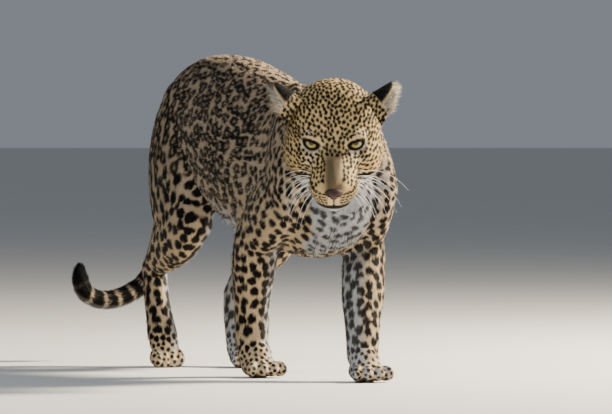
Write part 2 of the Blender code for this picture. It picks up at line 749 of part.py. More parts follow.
def add_ear(behind, name, side):
    # a scoop: crescent rings from the root to the rounded tip
    out, facing, across = ear_axes(side)
    root = Vector((EAR_ROOT[0] * side, EAR_ROOT[1], EAR_ROOT[2]))
    mesh = bmesh.new()
    rings = []
    steps = 9
    arc = 8
    for i in range(steps):
        t = i / (steps - 1)
        swell = math.sqrt(max(1.0 - ((t - 0.32) / 0.70) ** 2, 0.0)) if t > 0.32 else 0.82 + 0.56 * t
        width = EAR_HALF_WIDTH * swell
        depth = EAR_DEPTH[0] * max(1.0 - t, 0.0) ** 0.8 + EAR_DEPTH[1]
        wall = min(EAR_WALL, 0.45 * width, 0.45 * depth)
        middle = root + out * EAR_HEIGHT * (t - 0.22) + facing * depth
        ring = []
        for inset in (0.0, wall):
            turns = range(arc + 1) if inset == 0.0 else range(arc, -1, -1)
            for k in turns:
                angle = math.radians(100.0) * (2.0 * k / arc - 1.0)
                spot = middle + across * (width - inset) * math.sin(angle)
                spot = spot - facing * (depth - inset) * math.cos(angle)
                ring.append(mesh.verts.new(HEAD @ spot))
        rings.append(ring)
    bridge_rings(mesh, rings)
    bmesh.ops.triangulate(mesh, faces=mesh.faces)
    ear = mesh_object("ear_" + name, mesh)
    for other in behind:
        shell = grown(other, GAP)
        modifier_cut(ear, shell, "DIFFERENCE")
        drop(shell)
    clean(ear)
    keep_largest(ear)


def add_nose(head):
    # the bare pad, with a slit for each nostril
    mesh = bmesh.new()
    add_ball(mesh, NOSE_CENTRE, NOSE_HALF, HEAD)
    x, y, z = NOSE_CENTRE
    add_ball(mesh, (x, y - 0.001, z - 0.0075), (NOSE_HALF[0] * 0.52, NOSE_HALF[1], 0.0075), HEAD)
    nose = mesh_object("nose", mesh)
    remesh(nose, NOSE_VOXEL)
    modifier = nose.modifiers.new("Decimate", "DECIMATE")
    modifier.ratio = 0.22
    baked(nose)
    clean(nose)
    shell = grown(head, GAP)
    modifier_cut(nose, shell, "DIFFERENCE")
    drop(shell)
    for side in SIDES.values():
        mesh = bmesh.new()
        (cx, cy, cz), half = NOSTRIL
        turn = Matrix.Rotation(side * math.radians(24.0), 3, "Y")
        add_ball(mesh, (cx * side, cy, cz), half, HEAD, turn, 10)
        bmesh.ops.triangulate(mesh, faces=mesh.faces)
        slit = mesh_object("slit", mesh)
        modifier_cut(nose, slit, "DIFFERENCE")
        drop(slit)
    clean(nose)
    keep_largest(nose)


def part_jaw(head):
    mesh = bmesh.new()
    tilt = Matrix.Rotation(-MOUTH_SLOPE, 4, "X")
    place = HEAD @ Matrix.Translation((0.0, MOUTH_BACK, MOUTH_HEIGHT)) @ tilt
    size = 0.20
    place = place @ Matrix.Translation((0.0, size * 0.5, -size * 0.5))
    bmesh.ops.create_cube(mesh, size=size, matrix=place)
    bmesh.ops.triangulate(mesh, faces=mesh.faces)
    box = mesh_object("box", mesh)
    step = HEAD.to_3x3() @ Vector((0.0, -GAP, GAP))
    part_by(head, box, "jaw", step)


def flatten_soles(thing, height):
    # the part stands on small flats at one level
    mesh = bmesh.new()
    mesh.from_mesh(thing.data)
    geom = mesh.verts[:] + mesh.edges[:] + mesh.faces[:]
    bmesh.ops.bisect_plane(mesh, geom=geom, dist=0.00001, plane_co=(0.0, 0.0, height),
                           plane_no=(0.0, 0.0, 1.0), clear_inner=True)
    rim = [edge for edge in mesh.edges if edge.is_boundary]
    bmesh.ops.holes_fill(mesh, edges=rim, sides=0)
    mesh.to_mesh(thing.data)
    mesh.free()
    clean(thing)


def paint(thing):
    kind = "coat"
    if thing.name.startswith("eye"):
        kind = "eye"
    elif thing.name == "nose":
        kind = "nose"
    elif thing.name == "jaw":
        kind = "pale"
    elif thing.name in ("tail_4", "ear_left", "ear_right"):
        kind = "dark"
    colour, roughness = COLOURS[kind]
    material = bpy.data.materials.get(kind) or bpy.data.materials.new(kind)
    material.use_nodes = True
    shader = material.node_tree.nodes["Principled BSDF"]
    shader.inputs["Base Color"].default_value = colour
    shader.inputs["Roughness"].default_value = roughness
    shader.inputs["Metallic"].default_value = 0.0
    thing.data.materials.clear()
    thing.data.materials.append(material)
    thing.data.shade_smooth()


def centre_on_floor():
    # the origin is the middle of the whole model's footprint, at floor level
    corners = np.vstack([vertex_array(thing) for thing in bpy.context.scene.objects])
    shift = -0.5 * (corners.min(axis=0) + corners.max(axis=0))
    shift[2] = -corners[:, 2].min()
    for thing in bpy.context.scene.objects:
        points = vertex_array(thing) + shift
        thing.data.vertices.foreach_set("co", points.ravel())
        thing.data.update()


def main():
    clear_scene()
    flesh = build_flesh()
    flatten_soles(flesh, 0.0)
    part_legs(flesh)
    head = part_trunk(flesh)
    for name, side in SIDES.items():
        add_eye(head, name, side)
    add_nose(head)
    for name, side in SIDES.items():
        add_ear((head, bpy.data.objects["neck"]), name, side)
    part_jaw(head)
    centre_on_floor()
    for thing in bpy.context.scene.objects:
        paint(thing)
        print(thing.name, len(thing.data.polygons))


main()
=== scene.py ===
import math

import bmesh
import bpy
import numpy as np
from mathutils import Matrix, Vector, kdtree


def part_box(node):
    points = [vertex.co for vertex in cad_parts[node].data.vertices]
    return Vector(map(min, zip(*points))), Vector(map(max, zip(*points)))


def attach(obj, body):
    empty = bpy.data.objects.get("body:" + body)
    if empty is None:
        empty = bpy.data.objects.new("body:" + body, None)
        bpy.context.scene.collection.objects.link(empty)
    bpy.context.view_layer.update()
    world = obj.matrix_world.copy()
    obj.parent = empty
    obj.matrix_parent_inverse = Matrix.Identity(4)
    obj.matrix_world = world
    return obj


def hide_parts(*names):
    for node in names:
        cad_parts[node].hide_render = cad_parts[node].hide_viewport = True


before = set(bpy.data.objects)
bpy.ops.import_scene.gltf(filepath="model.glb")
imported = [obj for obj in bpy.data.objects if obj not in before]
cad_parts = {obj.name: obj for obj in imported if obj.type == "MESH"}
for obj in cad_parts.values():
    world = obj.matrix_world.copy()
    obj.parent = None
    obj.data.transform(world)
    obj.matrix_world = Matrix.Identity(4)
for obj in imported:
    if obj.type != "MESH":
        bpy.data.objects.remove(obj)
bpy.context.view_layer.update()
random = np.random.default_rng(41)
sides = {"left": 1.0, "right": -1.0}

# The head has a frame of its own: origin between the eyes, x to the animal's left,
# y along the face, z out of the crown
headPlace = {
    "eyeMidpoint": (-0.085, -0.270, 0.448),
    "yaw": math.radians(22.0),
    "pitch": math.radians(45.0),
}
eye = {
    "spacing": 0.080,
    "radius": 0.0165,
    "depth": 0.0085,
    "splay": math.radians(14.0),
    "lookUp": math.radians(32.0),
    "tilt": math.radians(10.0),
    "opening": (0.0146, 0.0098),
    "upperShare": 0.58,
    "lidRoll": 0.0028,
    "lidBeads": 32,
}


def headMatrix(place):
    turn = Matrix.Rotation(-place["yaw"], 4, "Z")
    face = turn @ Vector((0.0, -1.0, 0.0))
    left = turn @ Vector((1.0, 0.0, 0.0))
    up = Vector((0.0, 0.0, 1.0))
    along = face * math.cos(place["pitch"]) - up * math.sin(place["pitch"])
    crown = face * math.sin(place["pitch"]) + up * math.cos(place["pitch"])
    matrix = Matrix((left, along, crown)).transposed().to_4x4()
    matrix.translation = Vector(place["eyeMidpoint"])
    return matrix


def boxMiddle(node):
    low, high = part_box(node)
    return 0.5 * (Vector(low) + Vector(high))


def mirrored(place, side):
    # the same place or direction on the animal's left or right
    return place[0] * side, place[1], place[2]


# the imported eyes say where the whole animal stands, so every piece is made in
# the animal's own places and then moved by this step
drawnHead = headMatrix(headPlace)
eyesMiddle = 0.5 * (boxMiddle("eye_left") + boxMiddle("eye_right"))
stand = eyesMiddle - drawnHead @ Vector((0.0, -eye["depth"], 0.0))
stand.z = 0.0
head = Matrix.Translation(stand) @ drawnHead
headTurn = np.array(head.to_3x3())
headInverse = np.array(head.inverted())
print("stands at", tuple(round(v, 4) for v in stand))

# torso rings: place along the body, height of the back, of the belly, half width
torso = {
    "rings": [
        (-0.138, 0.440, 0.310, 0.045), (-0.108, 0.492, 0.268, 0.078), (-0.050, 0.538, 0.238, 0.098),
        (0.040, 0.560, 0.228, 0.106), (0.150, 0.566, 0.238, 0.114), (0.260, 0.591, 0.256, 0.121),
        (0.370, 0.613, 0.283, 0.117), (0.470, 0.621, 0.325, 0.109), (0.570, 0.618, 0.375, 0.103),
        (0.650, 0.594, 0.425, 0.080), (0.698, 0.560, 0.475, 0.045),
    ],
    "sides": 40,
    "backSqueeze": 0.10,
}
# tubes: centre, half size across, half size fore and aft
tubes = {
    "neck": [
        [(0.000, 0.040, 0.425, 0.094, 0.120), (-0.010, -0.050, 0.440, 0.094, 0.112),
         (-0.028, -0.115, 0.458, 0.088, 0.100), (-0.046, -0.175, 0.484, 0.078, 0.086)],
    ],
    "tail": [
        [(0.000, 0.660, 0.560, 0.036, 0.036), (0.000, 0.725, 0.525, 0.029, 0.029),
         (0.000, 0.780, 0.445, 0.0245, 0.0245), (0.000, 0.826, 0.340, 0.0225, 0.0225),
         (-0.002, 0.866, 0.240, 0.0215, 0.0215), (-0.014, 0.897, 0.170, 0.0215, 0.0215),
         (-0.058, 0.905, 0.135, 0.0215, 0.0215), (-0.108, 0.900, 0.125, 0.0210, 0.0210),
         (-0.148, 0.895, 0.138, 0.0200, 0.0200), (-0.163, 0.892, 0.168, 0.0185, 0.0185),
         (-0.165, 0.890, 0.190, 0.0130, 0.0130)],
    ],
    "rightFore": [
        [(-0.040, 0.055, 0.540, 0.018, 0.045), (-0.064, 0.015, 0.480, 0.032, 0.072),
         (-0.080, -0.035, 0.400, 0.042, 0.078), (-0.085, -0.066, 0.350, 0.040, 0.058)],
        [(-0.082, -0.055, 0.372, 0.042, 0.070), (-0.088, 0.030, 0.322, 0.042, 0.070),
         (-0.090, 0.105, 0.275, 0.038, 0.054), (-0.090, 0.138, 0.252, 0.032, 0.036)],
        [(-0.089, 0.110, 0.280, 0.040, 0.050), (-0.086, 0.128, 0.225, 0.045, 0.050),
         (-0.080, 0.154, 0.165, 0.039, 0.042), (-0.076, 0.166, 0.115, 0.036, 0.037),
         (-0.074, 0.169, 0.065, 0.034, 0.036), (-0.072, 0.162, 0.036, 0.035, 0.036)],
    ],
    "leftFore": [
        [(0.040, 0.045, 0.540, 0.018, 0.045), (0.064, 0.000, 0.480, 0.032, 0.072),
         (0.074, -0.055, 0.400, 0.040, 0.076), (0.080, -0.092, 0.350, 0.038, 0.055)],
        [(0.076, -0.082, 0.365, 0.040, 0.064), (0.084, -0.032, 0.315, 0.040, 0.064),
         (0.088, 0.018, 0.275, 0.038, 0.050), (0.088, 0.040, 0.255, 0.031, 0.033)],
        [(0.087, 0.002, 0.280, 0.038, 0.047), (0.083, -0.012, 0.230, 0.042, 0.047),
         (0.068, -0.042, 0.162, 0.043, 0.044), (0.057, -0.066, 0.118, 0.037, 0.038),
         (0.051, -0.082, 0.078, 0.034, 0.035), (0.048, -0.086, 0.042, 0.032, 0.034)],
    ],
    "rightHind": [
        [(-0.058, 0.575, 0.545, 0.036, 0.066), (-0.066, 0.570, 0.480, 0.050, 0.100),
         (-0.074, 0.556, 0.410, 0.055, 0.120), (-0.084, 0.526, 0.345, 0.051, 0.122),
         (-0.090, 0.498, 0.300, 0.044, 0.098)],
        [(-0.091, 0.432, 0.302, 0.041, 0.050), (-0.092, 0.500, 0.276, 0.042, 0.066),
         (-0.089, 0.580, 0.242, 0.035, 0.054), (-0.086, 0.645, 0.214, 0.028, 0.036),
         (-0.085, 0.680, 0.200, 0.024, 0.025)],
        [(-0.085, 0.676, 0.205, 0.026, 0.030), (-0.085, 0.664, 0.150, 0.0265, 0.034),
         (-0.085, 0.646, 0.100, 0.029, 0.031), (-0.085, 0.627, 0.060, 0.034, 0.030)],
    ],
    "leftHind": [
        [(0.058, 0.570, 0.545, 0.036, 0.066), (0.066, 0.556, 0.480, 0.050, 0.100),
         (0.074, 0.526, 0.410, 0.055, 0.114), (0.084, 0.480, 0.345, 0.050, 0.098),
         (0.091, 0.440, 0.302, 0.042, 0.072)],
        [(0.092, 0.415, 0.300, 0.041, 0.050), (0.088, 0.468, 0.256, 0.042, 0.056),
         (0.078, 0.536, 0.206, 0.033, 0.042), (0.070, 0.584, 0.172, 0.028, 0.033),
         (0.066, 0.606, 0.156, 0.026, 0.026)],
        [(0.065, 0.608, 0.152, 0.027, 0.031), (0.063, 0.606, 0.110, 0.027, 0.030),
         (0.061, 0.586, 0.065, 0.029, 0.031), (0.060, 0.570, 0.036, 0.032, 0.036)],
    ],
}
# paws: centre, half width, half length, turn from straight ahead
paws = {
    "flat": [
        (-0.070, 0.140, 0.037, 0.044, math.radians(4.0)),
        (0.047, -0.112, 0.037, 0.044, math.radians(-2.0)),
        (0.060, 0.548, 0.033, 0.046, math.radians(-3.0)),
    ],
    "tiptoeBall": (-0.085, 0.620, 0.048),
    "tiptoeTip": (-0.084, 0.596, 0.006),
    "tiptoeHalfWidth": 0.033,
    "toes": 4,
    "fan": math.radians(13.0),
    "toeRadii": (0.0125, 0.0215, 0.0170),
}
# head rings: place along y, height of the top, of the underside, half width
headShape = {
    "rings": [
        (-0.150, 0.024, -0.042, 0.030), (-0.136, 0.044, -0.066, 0.054), (-0.108, 0.060, -0.088, 0.074),
        (-0.080, 0.063, -0.098, 0.084), (-0.054, 0.054, -0.102, 0.088), (-0.030, 0.039, -0.102, 0.084),
        (-0.008, 0.023, -0.100, 0.071), (0.012, 0.010, -0.097, 0.057), (0.032, 0.001, -0.094, 0.047),
        (0.052, -0.005, -0.092, 0.042), (0.070, -0.011, -0.090, 0.039), (0.084, -0.018, -0.086, 0.033),
        (0.093, -0.027, -0.076, 0.020),
    ],
    "singles": [
        ((0.0, 0.060, -0.084), (0.022, 0.025, 0.018)),
        ((0.0, 0.040, -0.016), (0.019, 0.052, 0.019)),
    ],
    "pairs": [
        ((0.052, -0.034, -0.050), (0.042, 0.056, 0.050)),
        ((0.046, -0.030, -0.078), (0.038, 0.044, 0.034)),
        ((0.050, -0.010, -0.024), (0.027, 0.032, 0.018)),
        ((0.0230, 0.056, -0.0470), (0.0260, 0.036, 0.0245)),
        ((0.036, -0.018, 0.011), (0.027, 0.021, 0.0130)),
    ],
    # inner corner of the eye, socket, dip behind the muzzle, brow, cheekbone, hollow
    # beside the nose bridge, its edge, and the whisker pad
    "pushes": [
        ((0.026, 0.012, -0.004), (0.020, 0.030, 0.018), (-0.004, -0.007, -0.003)),
        ((0.040, 0.004, 0.000), (0.027, 0.030, 0.022), (0.0, -0.010, -0.006)),
        ((0.048, 0.030, -0.050), (0.020, 0.024, 0.026), (-0.004, -0.003, 0.0)),
        ((0.036, -0.008, 0.016), (0.026, 0.018, 0.016), (0.0, 0.0045, 0.0020)),
        ((0.056, 0.000, -0.030), (0.022, 0.022, 0.020), (0.003, 0.003, 0.0)),
        ((0.024, 0.036, -0.022), (0.012, 0.034, 0.020), (-0.003, -0.0025, -0.0035)),
        ((0.013, 0.040, -0.004), (0.009, 0.040, 0.014), (0.0, 0.0016, 0.0026)),
        ((0.024, 0.070, -0.050), (0.020, 0.020, 0.022), (0.003, 0.0025, 0.0)),
    ],
    "middle": (0.0, -0.020, -0.015),
    "reach": 0.160,
    "sides": 40,
    "squareness": 0.85,
}
ear = {
    "root": (0.064, -0.084, 0.048),
    "out": (0.86, -0.50, 0.22),
    "facing": (0.50, 0.61, -0.61),
    "halfWidth": 0.030,
    "height": 0.064,
    "belowRoot": 0.22,
    "widestAt": 0.32,
    "taper": 0.70,
    "depth": (0.046, 0.010),
    "wall": 0.0058,
    "rings": 14,
    "arc": 12,
    "spread": math.radians(100.0),
}
mouth = {"height": -0.0605, "back": 0.012, "slope": math.radians(7.2), "half": 0.0032, "depth": 0.0046}
surface = {
    "coreVoxel": 0.0060,
    "voxel": 0.0026,
    "triangles": 184000,
    "rounds": {"joins": 26, "head": 44, "last": 4},
}


def smoothPath(stations, steps=5):
    points = np.array(stations, dtype=float)
    padded = np.vstack([2.0 * points[0] - points[1], points, 2.0 * points[-1] - points[-2]])
    rows = []
    for i in range(1, len(padded) - 2):
        a, b, c, d = padded[i - 1:i + 3]
        for step in range(steps):
            t = step / steps
            rows.append(0.5 * (2.0 * b + (c - a) * t + (2.0 * a - 5.0 * b + 4.0 * c - d) * t * t
                               + (3.0 * b - a - 3.0 * c + d) * t ** 3))
    rows.append(points[-1])
    return np.array(rows)


def edgesOf(verts):
    return list({edge for vert in verts for edge in vert.link_edges})


def bridgeLoops(bm, loops):
    for lower, upper in zip(loops[:-1], loops[1:]):
        bmesh.ops.bridge_loops(bm, edges=lower + upper)


def closeEnds(bm):
    bmesh.ops.holes_fill(bm, edges=[edge for edge in bm.edges if edge.is_boundary], sides=0)
    bmesh.ops.recalc_face_normals(bm, faces=bm.faces)


def addLoft(target, places, segments=20, shape=None):
    # circles set in their places, bridged one to the next, and both ends filled
    bm = bmesh.new()
    loops = []
    for place in places:
        made = bmesh.ops.create_circle(bm, cap_ends=False, segments=segments, radius=1.0)["verts"]
        if shape:
            for vert in made:
                vert.co = shape(vert.co)
        bmesh.ops.transform(bm, matrix=place, verts=made)
        loops.append(edgesOf(made))
    bridgeLoops(bm, loops)
    closeEnds(bm)
    takeInto(target, bm)


def takeInto(target, bm):
    data = bpy.data.meshes.new("step")
    bm.to_mesh(data)
    bm.free()
    target.from_mesh(data)
    bpy.data.meshes.remove(data)


def ringPlace(centre, side, front, across, tall):
    matrix = Matrix((side * across, front * tall, side.cross(front))).transposed().to_4x4()
    matrix.translation = centre
    return matrix


def addTube(target, stations, place):
    path = smoothPath(stations)
    last = len(path) - 1
    rings = []
    for i, here in enumerate(path):
        tangent = Vector(path[min(i + 1, last)][:3] - path[max(i - 1, 0)][:3]).normalized()
        side = Vector((1.0, 0.0, 0.0))
        side = (side - tangent * side.dot(tangent)).normalized()
        front = tangent.cross(side)
        steps = [(0.0, 1.0)]
        if i == 0:
            steps = [(-0.75, 0.45), (-0.45, 0.80), (0.0, 1.0)]
        if i == last:
            steps = [(0.0, 1.0), (0.45, 0.80), (0.75, 0.45)]
        for shift, scale in steps:
            centre = Vector(here[:3]) + tangent * shift * min(here[3], here[4])
            rings.append(place @ ringPlace(centre, side, front, here[3] * scale, here[4] * scale))
    addLoft(target, rings)


def addBall(target, centre, radii, place, turn=None, segments=24):
    matrix = place @ Matrix.Translation(Vector(centre))
    if turn is not None:
        matrix = matrix @ turn.to_4x4()
    matrix = matrix @ Matrix.Diagonal((radii[0], radii[1], radii[2], 1.0))
    bm = bmesh.new()
    bmesh.ops.create_uvsphere(bm, u_segments=segments, v_segments=segments // 2, radius=1.0,
                              matrix=matrix)
    takeInto(target, bm)


def crossRings(table, place):
    # rings that stand across y, from rows of place, top, underside and half width
    rings = []
    for y, top, bottom, half in smoothPath(table):
        centre = Vector((0.0, y, 0.5 * (top + bottom)))
        rings.append(place @ ringPlace(centre, Vector((1.0, 0.0, 0.0)), Vector((0.0, 0.0, 1.0)),
                                       half, 0.5 * (top - bottom)))
    return rings


def addTorso(target, place):
    def slimBack(co):
        return Vector((co.x * (1.0 - torso["backSqueeze"] * co.y), co.y, 0.0))
    addLoft(target, crossRings(torso["rings"], place), torso["sides"], slimBack)


def addHead(target):
    def squarer(co):
        x, y = (math.copysign(abs(n) ** headShape["squareness"], n) for n in (co.x, co.y))
        return Vector((x, y, 0.0))
    addLoft(target, crossRings(headShape["rings"], head), headShape["sides"], squarer)
    for centre, radii in headShape["singles"]:
        addBall(target, centre, radii, head)
    for centre, radii in headShape["pairs"]:
        for side in sides.values():
            addBall(target, mirrored(centre, side), radii, head)


def addPaws(target, place):
    for x, y, halfWidth, halfLength, turn in paws["flat"]:
        foot = place @ Matrix.Translation((x, y, 0.0)) @ Matrix.Rotation(turn, 4, "Z")
        addBall(target, (0.0, 0.006, 0.024), (halfWidth * 0.92, halfLength * 0.95, 0.027), foot)
        addBall(target, (0.0, 0.012, 0.042), (halfWidth * 0.84, halfLength * 0.80, 0.032), foot)
        for i in range(paws["toes"]):
            slot = i - 0.5 * (paws["toes"] - 1)
            reach = halfLength * (0.98 - 0.07 * slot * slot)
            fan = Matrix.Rotation(slot * paws["fan"], 3, "Z")
            centre = fan @ Vector((0.0, -reach * 0.74, 0.0185))
            centre.x = slot * halfWidth * 0.52
            addBall(target, centre, paws["toeRadii"], foot, fan, 16)
    ball = Vector(paws["tiptoeBall"])
    tip = Vector(paws["tiptoeTip"])
    down = (tip - ball).normalized()
    across = Vector((1.0, 0.0, 0.0))
    back = down.cross(across).normalized()
    turn = Matrix((across, down, back)).transposed()
    half = paws["tiptoeHalfWidth"]
    addBall(target, ball, (half, 0.034, 0.026), place, turn)
    for i in range(paws["toes"]):
        slot = i - 0.5 * (paws["toes"] - 1)
        fan = Matrix.Rotation(-slot * paws["fan"] * 0.6, 3, back)
        centre = tip - down * 0.012 + across * slot * half * 0.50 + Vector((0.0, 0.0, 0.0015 * slot * slot))
        addBall(target, centre, paws["toeRadii"], place, fan @ turn, 16)


def earDepth(t):
    return ear["depth"][0] * np.clip(1.0 - t, 0.0, 1.0) ** 0.8 + ear["depth"][1]


def addEar(target, side):
    # a scoop, made of crescent rings from its root to the rounded tip
    out = Vector(mirrored(ear["out"], side)).normalized()
    facing = Vector(mirrored(ear["facing"], side))
    facing = (facing - out * facing.dot(out)).normalized()
    across = out.cross(facing)
    root = Vector(mirrored(ear["root"], side))
    arc = ear["arc"]
    bm = bmesh.new()
    loops = []
    for i in range(ear["rings"] + 1):
        t = i / ear["rings"]
        swell = 0.82 + 0.56 * t
        if t > ear["widestAt"]:
            swell = math.sqrt(max(1.0 - ((t - ear["widestAt"]) / ear["taper"]) ** 2, 0.0))
        width = ear["halfWidth"] * swell
        depth = float(earDepth(t))
        wall = min(ear["wall"], 0.5 * width)
        middle = root + out * ear["height"] * (t - ear["belowRoot"]) + facing * depth
        ring = bmesh.ops.create_circle(bm, cap_ends=False, segments=2 * arc + 2, radius=1.0)["verts"]
        for k, vert in enumerate(ring):
            inset = 0.0 if k <= arc else wall
            step = k if k <= arc else 2 * arc + 1 - k
            angle = ear["spread"] * (2.0 * step / arc - 1.0)
            vert.co = head @ (middle + across * (width - inset) * math.sin(angle)
                              - facing * (depth - inset) * math.cos(angle))
        loops.append(edgesOf(ring))
    bridgeLoops(bm, loops)
    closeEnds(bm)
    takeInto(target, bm)


def eyeFrame(side):
    turn = Matrix.Rotation(-side * eye["splay"], 4, "Z") @ Matrix.Rotation(eye["lookUp"], 4, "X")
    turn = turn @ Matrix.Rotation(-side * eye["tilt"], 4, "Y")
    return head @ Matrix.Translation((side * eye["spacing"] * 0.5, -eye["depth"], 0.0)) @ turn


def inEye(points, side):
    # places as one eye has them: x across, y the way it looks, z up
    place = np.array(eyeFrame(side).inverted())
    return points @ place[:3, :3].T + place[:3, 3]


def lidRim(seen, margin):
    # how far out from the middle of the eye, where 1 is the lids' edge with its margin
    tall = eye["opening"][1] * np.where(seen[:, 2] > 0.0, eye["upperShare"], 1.0)
    return np.hypot(seen[:, 0] / (eye["opening"][0] + 0.0022), seen[:, 2] / (tall + margin))


def addLids(target, side):
    wide, tall = eye["opening"]
    reach = eye["radius"] + 0.0012
    roll = eye["lidRoll"]
    place = eyeFrame(side)
    for i in range(eye["lidBeads"]):
        angle = 2.0 * math.pi * i / eye["lidBeads"]
        u = wide * math.cos(angle)
        v = tall * math.sin(angle) * (eye["upperShare"] if angle < math.pi else 1.0)
        along = math.sqrt(max(reach ** 2 - u * u - v * v, 0.00002))
        thick = roll * (1.35 if angle < math.pi else 1.0)
        addBall(target, (u, along, v), (thick, thick, thick), place, None, 8)


def addObject(name, data):
    piece = bpy.data.objects.new(name, data)
    bpy.context.scene.collection.objects.link(piece)
    return piece


def makeObject(name, bm):
    data = bpy.data.meshes.new(name)
    bm.to_mesh(data)
    bm.free()
    return addObject(name, data)


def settle(piece):
    depsgraph = bpy.context.evaluated_depsgraph_get()
    data = bpy.data.meshes.new_from_object(piece.evaluated_get(depsgraph))
    piece.modifiers.clear()
    old = piece.data
    piece.data = data
    bpy.data.meshes.remove(old)


def remesh(piece, voxel):
    step = piece.modifiers.new("remesh", "REMESH")
    step.mode = "VOXEL"
    step.voxel_size = voxel
    settle(piece)


def fuse(piece, extra, voxel):
    both = bmesh.new()
    both.from_mesh(piece.data)
    takeInto(both, extra)
    both.to_mesh(piece.data)
    both.free()
    remesh(piece, voxel)


def pointsOf(piece, what="co"):
    flat = np.empty(len(piece.data.vertices) * 3)
    piece.data.vertices.foreach_get(what, flat)
    return flat.reshape(-1, 3)


def normalsOf(piece):
    return pointsOf(piece, "normal")


def setPoints(piece, points):
    piece.data.vertices.foreach_set("co", points.ravel())
    piece.data.update()


def relax(piece, weight, rounds, outStep=0.53):
    # each round pulls in and lets out again, so that nothing shrinks
    points = pointsOf(piece)
    pairs = np.empty(len(piece.data.edges) * 2, dtype=np.int64)
    piece.data.edges.foreach_get("vertices", pairs)
    a, b = pairs.reshape(-1, 2).T
    degree = np.maximum(np.bincount(a, minlength=len(points)) + np.bincount(b, minlength=len(points)), 1)
    share = (weight(points) if callable(weight) else np.full(len(points), weight))[:, None]
    for step in range(rounds * 2):
        total = np.empty_like(points)
        for axis in range(3):
            total[:, axis] = np.bincount(a, points[b, axis], len(points))
            total[:, axis] += np.bincount(b, points[a, axis], len(points))
        amount = 0.5 if step % 2 == 0 else -outStep
        points = points + amount * share * (total / degree[:, None] - points)
    setPoints(piece, points)


def nearTo(points, centre, radius):
    away = np.linalg.norm(points - (np.array(centre) + np.array(stand)), axis=1) / radius
    return np.clip(1.0 - away, 0.0, 1.0)


def joinWeight(points):
    weight = np.full(len(points), 0.25)
    for x in (-0.09, 0.09):
        weight = np.maximum(weight, 1.6 * nearTo(points, (x, -0.03, 0.40), 0.24))
        weight = np.maximum(weight, 1.6 * nearTo(points, (x, 0.52, 0.42), 0.26))
    weight = np.maximum(weight, 1.6 * nearTo(points, (0.0, 0.68, 0.55), 0.12))
    weight = np.maximum(weight, 1.4 * nearTo(points, (-0.02, -0.10, 0.44), 0.20))
    return np.minimum(weight, 1.0)


def toHead(points):
    return points @ headInverse[:3, :3].T + headInverse[:3, 3]


def headShare(points):
    local = toHead(points)
    along = np.clip((local[:, 1] + 0.115) / 0.04, 0.0, 1.0)
    away = np.linalg.norm(local - np.array(headShape["middle"]), axis=1)
    return along * np.clip((headShape["reach"] - away) / 0.02, 0.0, 1.0)


def smoothStep(low, high, values):
    t = np.clip((values - low) / (high - low), 0.0, 1.0)
    return t * t * (3.0 - 2.0 * t)


def push(points, centre, radii, move):
    away = np.sqrt((((toHead(points) - np.array(centre)) / np.array(radii)) ** 2).sum(axis=1))
    fade = 1.0 - smoothStep(0.0, 1.0, away)
    return points + fade[:, None] * (headTurn @ np.array(move))


def hollowFace(piece):
    points = pointsOf(piece)
    for side in sides.values():
        for centre, radii, move in headShape["pushes"]:
            points = push(points, mirrored(centre, side), radii, mirrored(move, side))
    setPoints(piece, points)


def buildForm():
    place = Matrix.Translation(stand)
    bm = bmesh.new()
    addTorso(bm, place)
    for group in tubes.values():
        for stations in group:
            addTube(bm, stations, place)
    form = makeObject("skin", bm)
    remesh(form, surface["coreVoxel"])
    relax(form, joinWeight, surface["rounds"]["joins"])
    print("body formed", len(form.data.polygons))
    extra = bmesh.new()
    addHead(extra)
    fuse(form, extra, surface["voxel"])
    relax(form, headShare, surface["rounds"]["head"])
    hollowFace(form)
    extra = bmesh.new()
    for side in sides.values():
        addLids(extra, side)
        addEar(extra, side)
    addPaws(extra, place)
    fuse(form, extra, surface["voxel"])
    relax(form, lambda points: 0.35 + 0.25 * headShare(points), surface["rounds"]["last"])
    print("head formed", len(form.data.polygons))
    return form


def mouthHeight(local):
    return mouth["height"] - (local[:, 1] - mouth["back"]) * math.tan(mouth["slope"])


def groove(piece):
    # the line between the lips, and the furrow under the nose
    points = pointsOf(piece)
    local = toHead(points)
    height = mouthHeight(local)
    onLine = np.clip(1.0 - np.abs(local[:, 2] - height) / mouth["half"], 0.0, 1.0)
    onLine *= np.clip((local[:, 1] - mouth["back"]) / 0.008, 0.0, 1.0) * (headShare(points) > 0.99)
    onLine *= mouth["depth"]
    furrow = np.clip(1.0 - np.abs(local[:, 0]) / 0.0028, 0.0, 1.0) * (local[:, 1] > 0.07)
    furrow *= (local[:, 2] > height) * (local[:, 2] < -0.036) * 0.0020
    setPoints(piece, points - np.maximum(onLine, furrow)[:, None] * normalsOf(piece))


def thinOut(piece, wanted):
    # fewer triangles, thinned least on the head and less on the paws than elsewhere
    points = pointsOf(piece)
    fine = np.maximum(headShare(points), np.clip((0.070 - points[:, 2]) / 0.03, 0.0, 1.0) * 0.5)
    group = piece.vertex_groups.new(name="coarse")
    levels = np.round(fine * 8.0).astype(int)
    for level in range(9):
        group.add([int(i) for i in np.nonzero(levels == level)[0]], 1.0 - 0.80 * level / 8.0, "REPLACE")
    step = piece.modifiers.new("thin", "DECIMATE")
    step.ratio = min(wanted / (2.0 * len(piece.data.polygons)), 1.0)
    step.vertex_group = "coarse"
    step.vertex_group_factor = 1.0
    settle(piece)
    piece.vertex_groups.clear()


# where each part of the body runs, which way its coat lies, and how far round it is
flow = {"power": 3.0, "nearest": 0.006, "radiusShare": 0.75, "batch": 20000}
parts = ["trunk", "neck", "tail", "rightFore", "leftFore", "rightHind", "leftHind", "head"]
fore = ("rightFore", "leftFore")
hind = ("rightHind", "leftHind")


def onPart(part, *names):
    return np.isin(part, [parts.index(name) for name in names])


